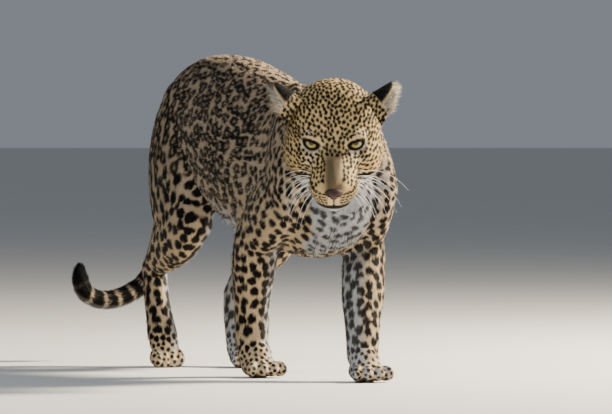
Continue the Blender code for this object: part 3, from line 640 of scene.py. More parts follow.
def alongSkin(lie, normals):
    # directions laid flat on the skin, of length 1
    lie = lie - normals * (lie * normals).sum(axis=1)[:, None]
    return lie / np.maximum(np.linalg.norm(lie, axis=1), 1e-6)[:, None]


def bodyLines():
    rows = []

    def addLine(part, centres, radii, sign):
        centres = np.array(centres)
        steps = np.gradient(centres, axis=0)
        lengths = np.linalg.norm(steps, axis=1)
        run = np.concatenate([[0.0], np.cumsum(np.linalg.norm(np.diff(centres, axis=0), axis=1))])
        for centre, step, length, radius, far in zip(centres, steps, lengths, radii, run):
            rows.append([*centre, *(sign * step / length), radius, parts.index(part), far])

    rings = smoothPath(torso["rings"])
    addLine("trunk", [(0.0, y, 0.5 * (top + bottom)) for y, top, bottom in rings[:, :3]],
            rings[:, 3], 1.0)
    for part, group in tubes.items():
        start = 0.0
        for stations in group:
            path = smoothPath(stations)
            first = len(rows)
            addLine(part, path[:, :3], np.minimum(path[:, 3], path[:, 4]), -1.0 if part == "neck" else 1.0)
            for row in rows[first:]:
                row[8] += start
            start = rows[-1][8]
    for row in rows:
        row[0] += stand.x
        row[1] += stand.y
    back = np.array([head @ Vector((0.0, y, -0.030)) for y in np.linspace(0.08, -0.10, 12)])
    addLine("head", back, np.linspace(0.035, 0.085, 12), 1.0)
    return np.array(rows)


def readFlow(points, normals):
    lines = bodyLines()
    lie = np.zeros_like(points)
    part = np.zeros(len(points), dtype=int)
    around = np.zeros(len(points))
    far = np.zeros(len(points))
    third = np.array((1.0, 1.0, 1.0)) / math.sqrt(3.0)
    for start in range(0, len(points), flow["batch"]):
        now = slice(start, start + flow["batch"])
        here = points[now]
        gap = here[:, None, :] - lines[None, :, :3]
        away = np.linalg.norm(gap, axis=2) - lines[:, 6] * flow["radiusShare"]
        away = np.maximum(away, flow["nearest"])
        weight = away ** -flow["power"]
        weight /= weight.sum(axis=1)[:, None]
        lie[now] = weight @ lines[:, 3:6]
        best = away.argmin(axis=1)
        part[now] = lines[best, 7]
        centre = weight @ lines[:, :3]
        axis = lines[best, 3:6]
        out = here - centre
        side = third - axis * (axis @ third)[:, None]
        side /= np.linalg.norm(side, axis=1)[:, None]
        other = np.cross(axis, side)
        around[now] = np.arctan2((out * side).sum(1), (out * other).sum(1))
        far[now] = lines[best, 8] + ((here - lines[best, :3]) * axis).sum(1)
    local = toHead(points)
    onHead = headShare(points) > 0.5
    part[onHead] = parts.index("head")
    # on the head the coat leaves the nose and spreads over cheeks and crown
    fan = np.stack([local[:, 0] * 5.0, np.full(len(local), -1.0), (local[:, 2] + 0.03) * 4.0], axis=1)
    lie[onHead] = (fan @ headTurn.T)[onHead]
    # on the paws it runs out to the toes
    low = smoothStep(0.060, 0.030, points[:, 2])[:, None]
    lie = lie * (1.0 - low) + np.array((0.0, -0.9, -0.35)) * low
    return alongSkin(lie, normals), part, around, far


def earPlaces(points):
    # how far out along the nearer ear a point is, whether it faces the cup, and which way is out
    local = toHead(points)
    best = np.full(len(points), -1.0)
    inside = np.zeros(len(points))
    outward = np.zeros_like(points)
    for side in sides.values():
        out = np.array(mirrored(ear["out"], side))
        out /= np.linalg.norm(out)
        facing = np.array(mirrored(ear["facing"], side))
        facing -= out * (facing @ out)
        facing /= np.linalg.norm(facing)
        gap = local - np.array(mirrored(ear["root"], side))
        along = gap @ out
        wide = np.abs(gap @ np.cross(out, facing))
        ahead = gap @ facing
        t = along / ear["height"] + ear["belowRoot"]
        deep = earDepth(t)
        near = (along > 0.007) & (t < 1.15) & (wide < ear["halfWidth"] + 0.004)
        near &= (ahead > -0.006) & (ahead < deep * 1.25 + 0.004)
        best[near] = t[near]
        swell = np.sqrt(np.clip(1.0 - ((t - ear["widestAt"]) / ear["taper"]) ** 2, 0.05, 1.0))
        half = ear["halfWidth"] * swell
        wall = deep * (1.0 - np.sqrt(np.clip(1.0 - (wide / half) ** 2, 0.0, 1.0)))
        inside[near] = ((ahead > wall + 0.5 * ear["wall"]) & (wide < half * 0.97))[near]
        outward[near] = headTurn @ out
    return best, inside, outward


def earAhead(points):
    # 0 at the back wall of the nearer ear, 1 at the edge of its cup
    local = toHead(points)
    flip = np.sign(local[:, :1]) * (1.0, 0.0, 0.0) + (0.0, 1.0, 1.0)
    ahead = ((local - np.array(ear["root"]) * flip) * np.array(ear["facing"]) * flip).sum(axis=1)
    return ahead / earDepth(earPlaces(points)[0])


# colours of the coat, as linear light
coat = {
    "back": (0.36, 0.262, 0.172),
    "flank": (0.42, 0.325, 0.220),
    "crown": (0.50, 0.350, 0.160),
    "leg": (0.48, 0.360, 0.220),
    "pale": (0.37, 0.385, 0.405),
    "cream": (0.60, 0.46, 0.27),
    "bridge": (0.062, 0.047, 0.029),
    "rosette": (0.30, 0.200, 0.110),
    "dark": (0.0030, 0.0026, 0.0027),
    "skinDepth": 0.0034,
    "faceDepth": 0.0014,
}
# marks: how far apart, how large, and how long for their width; kind 1 is an open rosette
marks = {
    "crown": {"apart": 0.0070, "size": 0.0040, "long": 1.30, "kind": 0},
    "cheek": {"apart": 0.0078, "size": 0.0040, "long": 1.45, "kind": 0},
    "neck": {"apart": 0.0112, "size": 0.0068, "long": 1.15, "kind": 0},
    "shoulder": {"apart": 0.0134, "size": 0.0080, "long": 1.15, "kind": 0},
    "flank": {"apart": 0.0210, "size": 0.0150, "long": 1.12, "kind": 1},
    "thigh": {"apart": 0.0213, "size": 0.0150, "long": 1.12, "kind": 1},
    "ham": {"apart": 0.0204, "size": 0.0125, "long": 1.20, "kind": 0},
    "spine": {"apart": 0.0140, "size": 0.0070, "long": 1.6, "kind": 0},
    "limb": {"apart": 0.0168, "size": 0.0100, "long": 1.15, "kind": 0},
    "paw": {"apart": 0.0092, "size": 0.0042, "long": 1.1, "kind": 0},
    "belly": {"apart": 0.0195, "size": 0.0100, "long": 1.25, "kind": 0},
    "chest": {"apart": 0.0160, "size": 0.0076, "long": 0.60, "kind": 0},
    "tail": {"apart": 0.0180, "size": 0.0090, "long": 1.2, "kind": 0},
}
markNames = list(marks)
# turns of evening out, how much of the way to the next mark one may fill, most marks there can
# be, how far past its size a mark is drawn, and how soft its edge is
scattering = {"turns": 4, "room": 0.52, "most": 6000, "reach": 1.75, "edge": 0.0011}


def paleShare(points, normals, part):
    # the white of belly, throat, chest, inner legs and the tail's underside
    body = points - np.array(stand)
    down = -normals[:, 2]
    trunk = onPart(part, "trunk", "neck")
    share = np.where(trunk, smoothStep(0.30, 0.75, down) * smoothStep(0.46, 0.36, body[:, 2]), 0.0)
    chest = smoothStep(0.25, 0.70, -normals[:, 1]) * smoothStep(0.44, 0.34, body[:, 2])
    share = np.where(trunk & (body[:, 1] < 0.02), np.maximum(share, chest), share)
    share = np.where(onPart(part, "neck"), np.maximum(share, smoothStep(-0.05, 0.45, down)), share)
    side = np.where(onPart(part, "rightFore", "rightHind"), -1.0, 1.0)
    inner = 0.9 * smoothStep(-0.05, 0.80, -side * normals[:, 0])
    share = np.where(onPart(part, *fore, *hind), inner * smoothStep(0.50, 0.40, body[:, 2]), share)
    behind = smoothStep(0.2, 0.8, normals[:, 1]) * 0.5
    share = np.where(onPart(part, *hind), np.maximum(share, behind), share)
    under = smoothStep(0.15, 0.75, down + 0.4 * normals[:, 1]) * 0.8
    share = np.where(onPart(part, "tail"), under, share)
    return np.where(onPart(part, "head"), smoothStep(-0.060, -0.082, toHead(points)[:, 2]), share)


def markPlan(points, normals, part, pale):
    # which kind of mark each place on the body carries: the last of these rules that holds
    body = points - np.array(stand)
    trunk, core, onHead = onPart(part, "trunk"), onPart(part, "trunk", "neck"), onPart(part, "head")
    foreleg, hindleg = onPart(part, *fore), onPart(part, *hind)
    kind = np.full(len(points), markNames.index("flank"))
    for where, name in (
        (trunk & (body[:, 1] < 0.10), "shoulder"),
        (trunk & (body[:, 1] > 0.50), "thigh"),
        (trunk & (np.abs(body[:, 0]) < 0.030) & (normals[:, 2] > 0.7), "spine"),
        (onPart(part, "neck"), "neck"),
        (onPart(part, "tail"), "tail"),
        (foreleg, "limb"),
        (foreleg & (body[:, 2] > 0.34), "shoulder"),
        (hindleg, "thigh"),
        (hindleg & (body[:, 2] < 0.39), "ham"),
        (hindleg & (body[:, 2] < 0.22), "limb"),
        (core & (pale > 0.6), "belly"),
        (core & (pale > 0.4) & (body[:, 1] < 0.03), "chest"),
        ((foreleg | hindleg) & (body[:, 2] < 0.055), "paw"),
        (onHead, "crown"),
        (onHead & (toHead(points)[:, 2] < -0.012), "cheek"),
    ):
        kind[where] = markNames.index(name)
    return kind


def noMark(points, part):
    # the muzzle, the nose bridge, the chin, the lids, the ears and the tail's tip stay bare
    local = toHead(points)
    bare = (local[:, 1] > 0.030) & (np.abs(local[:, 0]) < 0.016)
    bare |= (local[:, 1] > 0.040) & (local[:, 2] < -0.037)
    bare |= local[:, 1] > 0.078
    bare |= (local[:, 2] < -0.080) & (local[:, 1] > 0.0)
    bare &= onPart(part, "head")
    for side in sides.values():
        seen = inEye(points, side)
        tall = np.where(seen[:, 2] > 0.0, 0.0150, 0.0185)
        bare |= (np.hypot(seen[:, 0] / 0.0230, seen[:, 2] / tall) < 1.0) & (seen[:, 1] > 0.0)
    bare |= earPlaces(points)[0] > 0.0
    return bare | (onPart(part, "tail") & (points[:, 2] < 0.24))


def treeOf(points):
    tree = kdtree.KDTree(len(points))
    for i, point in enumerate(points.tolist()):
        tree.insert(point, i)
    tree.balance()
    return tree


def evenOut(points, spots, free):
    # each mark moves to the middle of the coat that is nearest to it, a few times over
    nearest = treeOf(points)
    some = points[free]
    for _ in range(scattering["turns"]):
        tree = treeOf(points[spots])
        owner = np.array([tree.find(point)[1] for point in some.tolist()])
        count = np.maximum(np.bincount(owner, minlength=len(spots)), 1)[:, None]
        sums = np.stack([np.bincount(owner, some[:, axis], len(spots)) for axis in range(3)], axis=1)
        spots = sorted({nearest.find(place)[1] for place in (sums / count).tolist()})
    return spots


def placeMarks(points, normals, lie, part, pale):
    # scattered at random, none nearer the next than its kind allows, and then evened out
    kind = markPlan(points, normals, part, pale)
    apart = np.array([marks[name]["apart"] for name in markNames])[kind]
    free = ~noMark(points, part)
    order = random.permutation(np.nonzero(free)[0])
    spots = []
    places = np.zeros((scattering["most"], 3))
    reach = np.zeros(scattering["most"])
    for i in order:
        count = len(spots)
        if count:
            near = np.abs(places[:count] - points[i]).max(axis=1) < apart[i]
            gap = np.linalg.norm(places[:count][near] - points[i], axis=1)
            if (gap < 0.5 * (apart[i] + reach[:count][near])).any():
                continue
        places[count] = points[i]
        reach[count] = apart[i]
        spots.append(i)
    found = []
    spots = evenOut(points, spots, free)
    tree = treeOf(points[spots])
    for i in spots:
        look = marks[markNames[kind[i]]]
        size = look["size"] * random.uniform(0.85, 1.15)
        found.append({
            "at": points[i], "along": lie[i], "normal": normals[i], "kind": look["kind"],
            "size": min(size, scattering["room"] * tree.find_n(points[i], 2)[1][2]),
            "long": look["long"] * random.uniform(0.9, 1.15),
            "phase": random.uniform(0.0, 6.28, 4), "turn": random.normal(0.0, 0.25),
            "breaks": random.integers(2, 5),
        })
    return found


def drawMarks(spots, points):
    # darkness and the warm middle of the rosettes, 0 to 1, at each point
    tree = treeOf(points)
    dark = np.zeros(len(points))
    middle = np.zeros(len(points))
    edge = scattering["edge"]
    for spot in spots:
        hits = tree.find_range(Vector(spot["at"]), spot["size"] * scattering["reach"])
        if not hits:
            continue
        index = np.array([hit[1] for hit in hits])
        gap = points[index] - spot["at"]
        cross = np.cross(spot["normal"], spot["along"])
        c, s = math.cos(spot["turn"]), math.sin(spot["turn"])
        u = gap @ (spot["along"] * c + cross * s) / math.sqrt(spot["long"])
        v = gap @ (cross * c - spot["along"] * s) * math.sqrt(spot["long"])
        away = np.hypot(u, v)
        angle = np.arctan2(v, u)
        p = spot["phase"]
        shape = 1.0 + 0.09 * np.sin(2.0 * angle + p[0]) + 0.08 * np.sin(3.0 * angle + p[1])
        shape += 0.05 * np.sin(5.0 * angle + p[2])
        if spot["kind"] == 1:
            width = 0.44 * np.clip(0.96 + 0.42 * np.sin(spot["breaks"] * angle + p[3]), -1.0, 1.15)
            signed = spot["size"] * (width - np.abs(away / spot["size"] - 0.68 * shape))
            inner = smoothStep(0.85, 0.60, away / (spot["size"] * shape))
            middle[index] = np.maximum(middle[index], inner)
        else:
            signed = spot["size"] * shape - away
        dark[index] = np.maximum(dark[index], smoothStep(-edge, edge, signed))
    return dark, middle


def segmentNear(local, a, b, radius, soft):
    a, b = np.array(a), np.array(b)
    t = np.clip(((local - a) @ (b - a)) / ((b - a) @ (b - a)), 0.0, 1.0)
    away = np.linalg.norm(local - a - t[:, None] * (b - a), axis=1)
    return smoothStep(radius + soft, radius - soft, away)


def ovalNear(local, centre, radii, soft=0.5):
    away = np.sqrt((((local - np.array(centre)) / np.array(radii)) ** 2).sum(axis=1))
    return smoothStep(1.0 + soft, 1.0 - soft, away)


whiskerPad = {"rows": 4, "spots": 5, "top": -0.0375, "apart": 0.0066, "dash": 0.0080}


def padSpots(side):
    # where the rows of whiskers leave the lip, from the nose back
    spots = []
    for row in range(whiskerPad["rows"]):
        for i in range(whiskerPad["spots"]):
            t = i / (whiskerPad["spots"] - 1)
            y = 0.079 - 0.036 * t
            x = side * (0.0235 + 0.019 * math.sin(0.5 * math.pi * t))
            spots.append(Vector((x, y, whiskerPad["top"] - whiskerPad["apart"] * row + 0.0030 * t)))
    return spots


def padRows(local):
    # dark dashes in level rows round the front of the muzzle, where the whiskers stand
    q = (whiskerPad["top"] - local[:, 2] + 0.10 * (0.085 - local[:, 1])) / whiskerPad["apart"]
    row = np.round(q)
    line = smoothStep(0.46, 0.32, np.abs(q - row)) * (row >= 0) * (row <= whiskerPad["rows"])
    run = np.abs(local[:, 0]) * 0.8 + (0.085 - local[:, 1])
    line *= smoothStep(-1.0, -0.82, np.sin(run / whiskerPad["dash"] * 6.283 + 1.7 * row))
    return line * smoothStep(0.009, 0.013, np.abs(local[:, 0])) * smoothStep(0.036, 0.046, local[:, 1])


# drawn on both sides of the face: warm ovals by share, centre and radii, and dark lines by
# share, their two ends, radius and softness
faceMarks = {
    "ovals": [
        (0.90, (0.041, 0.018, -0.024), (0.018, 0.020, 0.016)),
        (0.45, (0.023, 0.000, 0.012), (0.006, 0.018, 0.014)),
        (0.60, (0.046, -0.012, 0.014), (0.018, 0.014, 0.010)),
    ],
    "lines": [
        (1.0, (0.0262, 0.0070, -0.0050), (0.0205, 0.0225, -0.0140), 0.0040, 0.0016),
        (0.8, (0.0205, 0.0225, -0.0140), (0.0225, 0.0400, -0.0260), 0.0020, 0.0016),
        (1.0, (0.0560, -0.0100, 0.0060), (0.0680, -0.0270, 0.0060), 0.0026, 0.0012),
    ],
}


def headMarks(points, part):
    # the drawn marks of the face: darkness, and shares of white, warm cream and bridge brown
    local = toHead(points)
    dark = padRows(local) * 0.92
    white = np.zeros(len(points))
    cream = 0.75 * smoothStep(0.026, 0.050, local[:, 1]) * smoothStep(-0.034, -0.044, local[:, 2])
    for side in sides.values():
        seen = inEye(points, side)
        up = seen[:, 2] > 0.0
        rim = np.where(seen[:, 1] > 0.0, lidRim(seen, 0.0024), 9.0)
        line = smoothStep(1.16, 1.24, rim) * smoothStep(1.56, 1.44, rim)
        below = np.where(up, 0.0, 0.70) * smoothStep(0.024, 0.018, np.abs(seen[:, 0]))
        white = np.maximum(white, line * below)
        dark = np.maximum(dark, smoothStep(np.where(up, 1.24, 1.15), np.where(up, 1.12, 1.04), rim))
        for share, centre, radii in faceMarks["ovals"]:
            cream = np.maximum(cream, share * ovalNear(local, mirrored(centre, side), radii))
        for share, start, end, radius, soft in faceMarks["lines"]:
            ends = mirrored(start, side), mirrored(end, side)
            dark = np.maximum(dark, share * segmentNear(local, *ends, radius, soft))
    bridge = smoothStep(0.026, 0.009, np.abs(local[:, 0])) * smoothStep(-0.040, -0.026, local[:, 2])
    brown = 0.92 * bridge * smoothStep(-0.016, 0.046, local[:, 1])
    height = mouthHeight(local)
    lips = smoothStep(0.0064, 0.0044, np.abs(local[:, 2] - height))
    dark = np.maximum(dark, lips * (local[:, 1] > mouth["back"] - 0.002))
    furrow = smoothStep(0.0020, 0.0008, np.abs(local[:, 0])) * (local[:, 1] > 0.078)
    dark = np.maximum(dark, furrow * (local[:, 2] > height) * (local[:, 2] < -0.038))
    onHead = onPart(part, "head")
    return dark * onHead, white * onHead, cream * onHead, brown * onHead


def tailRings(part, far):
    # towards the tip the spots join into rings, dark above and open below
    ring = np.sin(far / 0.0165 * math.pi + 0.6)
    share = smoothStep(-0.90, -0.72, ring) * smoothStep(0.36, 0.42, far)
    return np.maximum(share, smoothStep(0.635, 0.650, far)) * onPart(part, "tail")


def mixed(colour, other, share):
    return colour * (1.0 - share[:, None]) + np.array(other) * share[:, None]


def coatColour(points, normals, part, far, spots):
    pale = paleShare(points, normals, part)
    colour = mixed(np.array(coat["flank"]), coat["back"], smoothStep(-0.1, 0.9, normals[:, 2]))
    limb = onPart(part, *fore, *hind) * smoothStep(0.42, 0.25, points[:, 2] - stand.z)
    colour = mixed(colour, coat["leg"], limb)
    colour = mixed(colour, coat["crown"], onPart(part, "head") * 1.0)
    dark, middle = drawMarks(spots, points)
    own, white, cream, brown = headMarks(points, part)
    colour = mixed(colour, coat["rosette"], 0.75 * middle)
    for share, name in ((cream, "cream"), (brown, "bridge"), (white, "pale"), (pale, "pale")):
        colour = mixed(colour, coat[name], share)
    dark = np.maximum(dark, own)
    dark = np.maximum(dark, tailRings(part, far) * (1.0 - 0.35 * pale))
    # the ears: a pale cup, a warm edge in front and a dark back
    out, inside = earPlaces(points)[:2]
    cup = np.array(coat["pale"]) * np.array((0.95, 0.80, 0.60))
    front = smoothStep(0.50, 0.72, earAhead(points))
    earColour = np.where((inside > 0.5)[:, None], cup, mixed(np.array(coat["crown"]), coat["cream"], front))
    colour = np.where((out > 0.0)[:, None], earColour, colour)
    earDark = (inside < 0.5) * (1.0 - front) * smoothStep(0.28, 0.36, out)
    dark = np.where(out > 0.0, earDark, dark) * (1.0 - 0.10 * pale)
    return mixed(colour, coat["dark"], dark)


def sink(points):
    # how deep the skin lies under the outline, where the coat is as long as that
    local = toHead(points)
    share = headShare(points)
    depth = coat["skinDepth"] * (1.0 - share) + coat["faceDepth"] * share
    depth *= 1.0 - 0.75 * smoothStep(0.030, 0.012, points[:, 2])
    depth[earPlaces(points)[0] > 0.0] = 0.0005
    for side in sides.values():
        gap = np.linalg.norm(local - np.array((side * 0.040, -0.002, 0.004)), axis=1)
        depth *= smoothStep(0.014, 0.030, gap) * 0.9 + 0.1
    gap = np.linalg.norm(local - np.array((0.0, 0.094, -0.034)), axis=1)
    return depth * (smoothStep(0.010, 0.020, gap) * 0.8 + 0.2)


form = buildForm()
groove(form)
thinOut(form, surface["triangles"])
print("thinned", len(form.data.polygons))
skinPoints = pointsOf(form)
skinNormals = normalsOf(form)
skinPoints = skinPoints - skinNormals * sink(skinPoints)[:, None]
skinPoints[:, 2] = np.maximum(skinPoints[:, 2], 0.0006)
setPoints(form, skinPoints)
skinNormals = normalsOf(form)
skinLie, skinPart, _, skinFar = readFlow(skinPoints, skinNormals)
print("flow read")
skinPale = paleShare(skinPoints, skinNormals, skinPart)
spots = placeMarks(skinPoints, skinNormals, skinLie, skinPart, skinPale)
print("marks placed", len(spots))
skinColour = coatColour(skinPoints, skinNormals, skinPart, skinFar, spots)
print("marks drawn")


def paintPoints(piece, colours):
    layer = piece.data.color_attributes.new("coat", "FLOAT_COLOR", "POINT")
    flat = np.concatenate([colours, np.ones((len(colours), 1))], axis=1)
    layer.data.foreach_set("color", flat.ravel())


paintPoints(form, skinColour)
form.data.shade_smooth()


def newMaterial(name, roughness, specular):
    material = bpy.data.materials.new(name)
    material.use_nodes = True
    shader = material.node_tree.nodes["Principled BSDF"]
    shader.inputs["Roughness"].default_value = roughness
    shader.inputs["Specular IOR Level"].default_value = specular
    return material, material.node_tree.nodes, material.node_tree.links, shader


def addNode(nodes, kind, values):
    node = nodes.new(kind)
    for socket, value in values.items():
        node.inputs[socket].default_value = value
    return node


def mottledMaterial(name, roughness, specular, scale, colours, stops=(0.0, 1.0)):
    # two colours, mixed by a soft noise
    material, nodes, links, shader = newMaterial(name, roughness, specular)
    place = nodes.new("ShaderNodeTexCoord")
    noise = addNode(nodes, "ShaderNodeTexNoise", {"Scale": scale})
    links.new(place.outputs["Object"], noise.inputs["Vector"])
    ramp = nodes.new("ShaderNodeValToRGB")
    for element, stop, colour in zip(ramp.color_ramp.elements, stops, colours):
        element.position = stop
        element.color = (*colour, 1.0)
    links.new(noise.outputs["Fac"], ramp.inputs["Fac"])
    links.new(ramp.outputs["Color"], shader.inputs["Base Color"])
    return material


def coatMaterial(name, grain, bumpDepth):
    # the painted coat with a fine grain of hairs over it
    material, nodes, links, shader = newMaterial(name, 0.66, 0.08)
    place = nodes.new("ShaderNodeTexCoord")
    painted = nodes.new("ShaderNodeAttribute")
    painted.attribute_name = "coat"
    noise = addNode(nodes, "ShaderNodeTexNoise", {"Scale": grain, "Detail": 3.0})
    links.new(place.outputs["Object"], noise.inputs["Vector"])
    shade = addNode(nodes, "ShaderNodeMapRange", {"To Min": 0.72, "To Max": 1.25})
    links.new(noise.outputs["Fac"], shade.inputs["Value"])
    mix = nodes.new("ShaderNodeVectorMath")
    mix.operation = "SCALE"
    links.new(painted.outputs["Color"], mix.inputs[0])
    links.new(shade.outputs["Result"], mix.inputs["Scale"])
    links.new(mix.outputs["Vector"], shader.inputs["Base Color"])
    bump = addNode(nodes, "ShaderNodeBump", {"Distance": bumpDepth, "Strength": 0.6})
    links.new(noise.outputs["Fac"], bump.inputs["Height"])
    links.new(bump.outputs["Normal"], shader.inputs["Normal"])
    shader.inputs["Sheen Weight"].default_value = 0.02
    shader.inputs["Sheen Roughness"].default_value = 0.5
    return material


skinMaterial = coatMaterial("shortFur", 750.0, 0.0012)
form.data.materials.append(skinMaterial)
fleshNodes = [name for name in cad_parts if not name.startswith("eye_") and name != "nose"]
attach(form, "root")
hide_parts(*fleshNodes)


# the eyes: iris and pupil as angles from the middle, how much its fibres stray, and how far
# the clear front runs past the iris and stands proud
gaze = {"iris": 43.0, "pupil": 16.0, "fibres": 0.07, "margin": 4.0, "bulge": 0.10, "look": (0.06, 0.77, 0.62)}


def makeEye(name, side):
    bm = bmesh.new()
    look = Vector(mirrored(gaze["look"], side)).normalized()
    turn = look.to_track_quat("Z", "Y").to_matrix().to_4x4()
    centre = Vector((side * eye["spacing"] * 0.5, -eye["depth"], 0.0))
    bmesh.ops.create_uvsphere(bm, u_segments=64, v_segments=40, radius=eye["radius"] - 0.0002)
    seen = bm.verts.layers.float_vector.new("seen")
    front = math.cos(math.radians(gaze["iris"] + gaze["margin"]))
    for vert in bm.verts:
        vert[seen] = vert.co.normalized()
        vert.co *= 1.0 + gaze["bulge"] * max(0.0, vert.co.z / eye["radius"] - front)
    bmesh.ops.transform(bm, matrix=head @ Matrix.Translation(centre) @ turn, verts=bm.verts)
    piece = makeObject("eyeball_" + name, bm)
    piece.data.shade_smooth()
    return piece


def eyeMaterial():
    material, nodes, links, shader = newMaterial("eyeIris", 0.12, 0.3)
    seen = nodes.new("ShaderNodeAttribute")
    seen.attribute_name = "seen"
    split = nodes.new("ShaderNodeSeparateXYZ")
    links.new(seen.outputs["Vector"], split.inputs[0])
    angle = nodes.new("ShaderNodeMath")
    angle.operation = "ARCCOSINE"
    links.new(split.outputs["Z"], angle.inputs[0])
    noise = addNode(nodes, "ShaderNodeTexNoise", {"Scale": 14.0, "Detail": 4.0})
    # fibres run out from the pupil, so the noise is read round the eye only
    flat = addNode(nodes, "ShaderNodeVectorMath", {1: (1.0, 1.0, 0.0)})
    flat.operation = "MULTIPLY"
    links.new(seen.outputs["Vector"], flat.inputs[0])
    norm = nodes.new("ShaderNodeVectorMath")
    norm.operation = "NORMALIZE"
    links.new(flat.outputs["Vector"], norm.inputs[0])
    links.new(norm.outputs["Vector"], noise.inputs["Vector"])
    shift = addNode(nodes, "ShaderNodeMath", {1: gaze["fibres"]})
    shift.operation = "MULTIPLY_ADD"
    links.new(noise.outputs["Fac"], shift.inputs[0])
    links.new(angle.outputs[0], shift.inputs[2])
    ramp = nodes.new("ShaderNodeValToRGB")
    links.new(shift.outputs[0], ramp.inputs["Fac"])
    pupil = math.radians(gaze["pupil"]) + 0.5 * gaze["fibres"]
    iris = math.radians(gaze["iris"]) + 0.5 * gaze["fibres"]
    stops = [
        (0.0, (0.003, 0.003, 0.003)), (pupil - 0.02, (0.003, 0.003, 0.003)),
        (pupil + 0.03, (0.20, 0.140, 0.022)), (pupil + 0.24, (0.300, 0.250, 0.050)),
        (iris - 0.14, (0.21, 0.180, 0.045)), (iris - 0.02, (0.035, 0.030, 0.015)),
        (iris + 0.05, (0.012, 0.009, 0.008)),
    ]
    ramp.color_ramp.elements[0].position = stops[0][0]
    ramp.color_ramp.elements[1].position = stops[-1][0]
    for position, colour in stops[1:-1]:
        ramp.color_ramp.elements.new(position)
    for element, (position, colour) in zip(ramp.color_ramp.elements, stops):
        element.position = position
        element.color = (*colour, 1.0)
    links.new(ramp.outputs["Color"], shader.inputs["Base Color"])
    shader.inputs["Coat Weight"].default_value = 0.5
    shader.inputs["Coat Roughness"].default_value = 0.02
    return material


irisMaterial = eyeMaterial()
for name, side in sides.items():
    eyeball = makeEye(name, side)
    eyeball.data.materials.append(irisMaterial)
    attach(eyeball, "root")
    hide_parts("eye_" + name)
print("eyes made")


# the bare nose pad keeps its own shape, with a pebbled, slightly moist leather
def noseMaterial():
    colours = ((0.020, 0.011, 0.010), (0.062, 0.029, 0.025))
    material = mottledMaterial("noseLeather", 0.55, 0.22, 120.0, colours, (0.35, 0.68))
    nodes, links = material.node_tree.nodes, material.node_tree.links
    place = nodes.new("ShaderNodeTexCoord")
    cells = addNode(nodes, "ShaderNodeTexVoronoi", {"Scale": 900.0})
    links.new(place.outputs["Object"], cells.inputs["Vector"])
    bump = addNode(nodes, "ShaderNodeBump", {"Distance": 0.0004})
    links.new(cells.outputs["Distance"], bump.inputs["Height"])
    links.new(bump.outputs["Normal"], nodes["Principled BSDF"].inputs["Normal"])
    return material


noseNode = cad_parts["nose"]
noseNode.data.materials.clear()
noseNode.data.materials.append(noseMaterial())


# the coat: thin tufts that lie along the body
tufts = {
    "trunk": {"perArea": 230000, "length": 0.0078, "width": 0.0013, "rise": 0.0030},
    "neck": {"perArea": 250000, "length": 0.0080, "width": 0.0013, "rise": 0.0032},
    "limb": {"perArea": 240000, "length": 0.0066, "width": 0.0012, "rise": 0.0026},
    "paw": {"perArea": 360000, "length": 0.0046, "width": 0.0009, "rise": 0.0012},
    "tail": {"perArea": 240000, "length": 0.0100, "width": 0.0014, "rise": 0.0040},
    "head": {"perArea": 620000, "length": 0.0052, "width": 0.0008, "rise": 0.0016},
    "face": {"perArea": 900000, "length": 0.0032, "width": 0.0006, "rise": 0.0009},
    "ear": {"perArea": 700000, "length": 0.0060, "width": 0.0007, "rise": 0.0016},
    "thinning": 1.0,
    "mostInPiece": 49000,
    "patch": 0.003,
    "sunk": 0.0006,
    "shades": (0.84, 1.16),
    "stray": 0.16,
    "normalStray": 0.26,
    "flank": (0.16, 0.47),
    "colourAt": (0.30, 0.74),
}
# long hairs droop by hang and stand off the skin by lift
longHair = {
    "belly": {"count": 1000, "length": 0.021, "width": 0.0009, "hang": 0.30, "lift": 0.12},
    "ruff": {"count": 900, "length": 0.014, "width": 0.0009, "hang": 0.10, "lift": 0.16},
    "earCup": {"count": 2600, "length": 0.016, "width": 0.0009, "hang": 0.10, "lift": 0.30},
    "earRim": {"count": 1500, "length": 0.013, "width": 0.0009, "hang": 0.15, "lift": 0.10},
    "elbow": {"count": 1500, "length": 0.018, "width": 0.0012, "hang": 0.10, "lift": 0.20},
    "tailTip": {"count": 700, "length": 0.010, "width": 0.0012, "hang": 0.0, "lift": 0.45},
}


def skinTriangles(piece):
    piece.data.calc_loop_triangles()
    corners = np.empty(len(piece.data.loop_triangles) * 3, dtype=np.int64)
    piece.data.loop_triangles.foreach_get("vertices", corners)
    return corners.reshape(-1, 3)


triangles = skinTriangles(form)
cornerPoints = skinPoints[triangles]
triangleArea = 0.5 * np.linalg.norm(np.cross(cornerPoints[:, 1] - cornerPoints[:, 0],
                                             cornerPoints[:, 2] - cornerPoints[:, 0]), axis=1)


def scatter(weightAtVertex, count):
    # roots spread over the skin, more of them where the weight is greater
    weight = weightAtVertex[triangles].mean(axis=1) * triangleArea
    total = weight.sum()
    if total <= 0.0 or count < 1:
        return np.zeros((0, 3)), np.zeros((0, 3))
    chosen = np.searchsorted(np.cumsum(weight), random.uniform(0.0, total, count))
    chosen = np.minimum(chosen, len(triangles) - 1)
    a, b = random.uniform(0.0, 1.0, (2, count))
    over = a + b > 1.0
    a[over], b[over] = 1.0 - a[over], 1.0 - b[over]
    shares = np.stack([1.0 - a - b, a, b], axis=1)[:, :, None]
    roots = (skinPoints[triangles[chosen]] * shares).sum(axis=1)
    normals = (skinNormals[triangles[chosen]] * shares).sum(axis=1)
    return roots, normals / np.linalg.norm(normals, axis=1)[:, None]


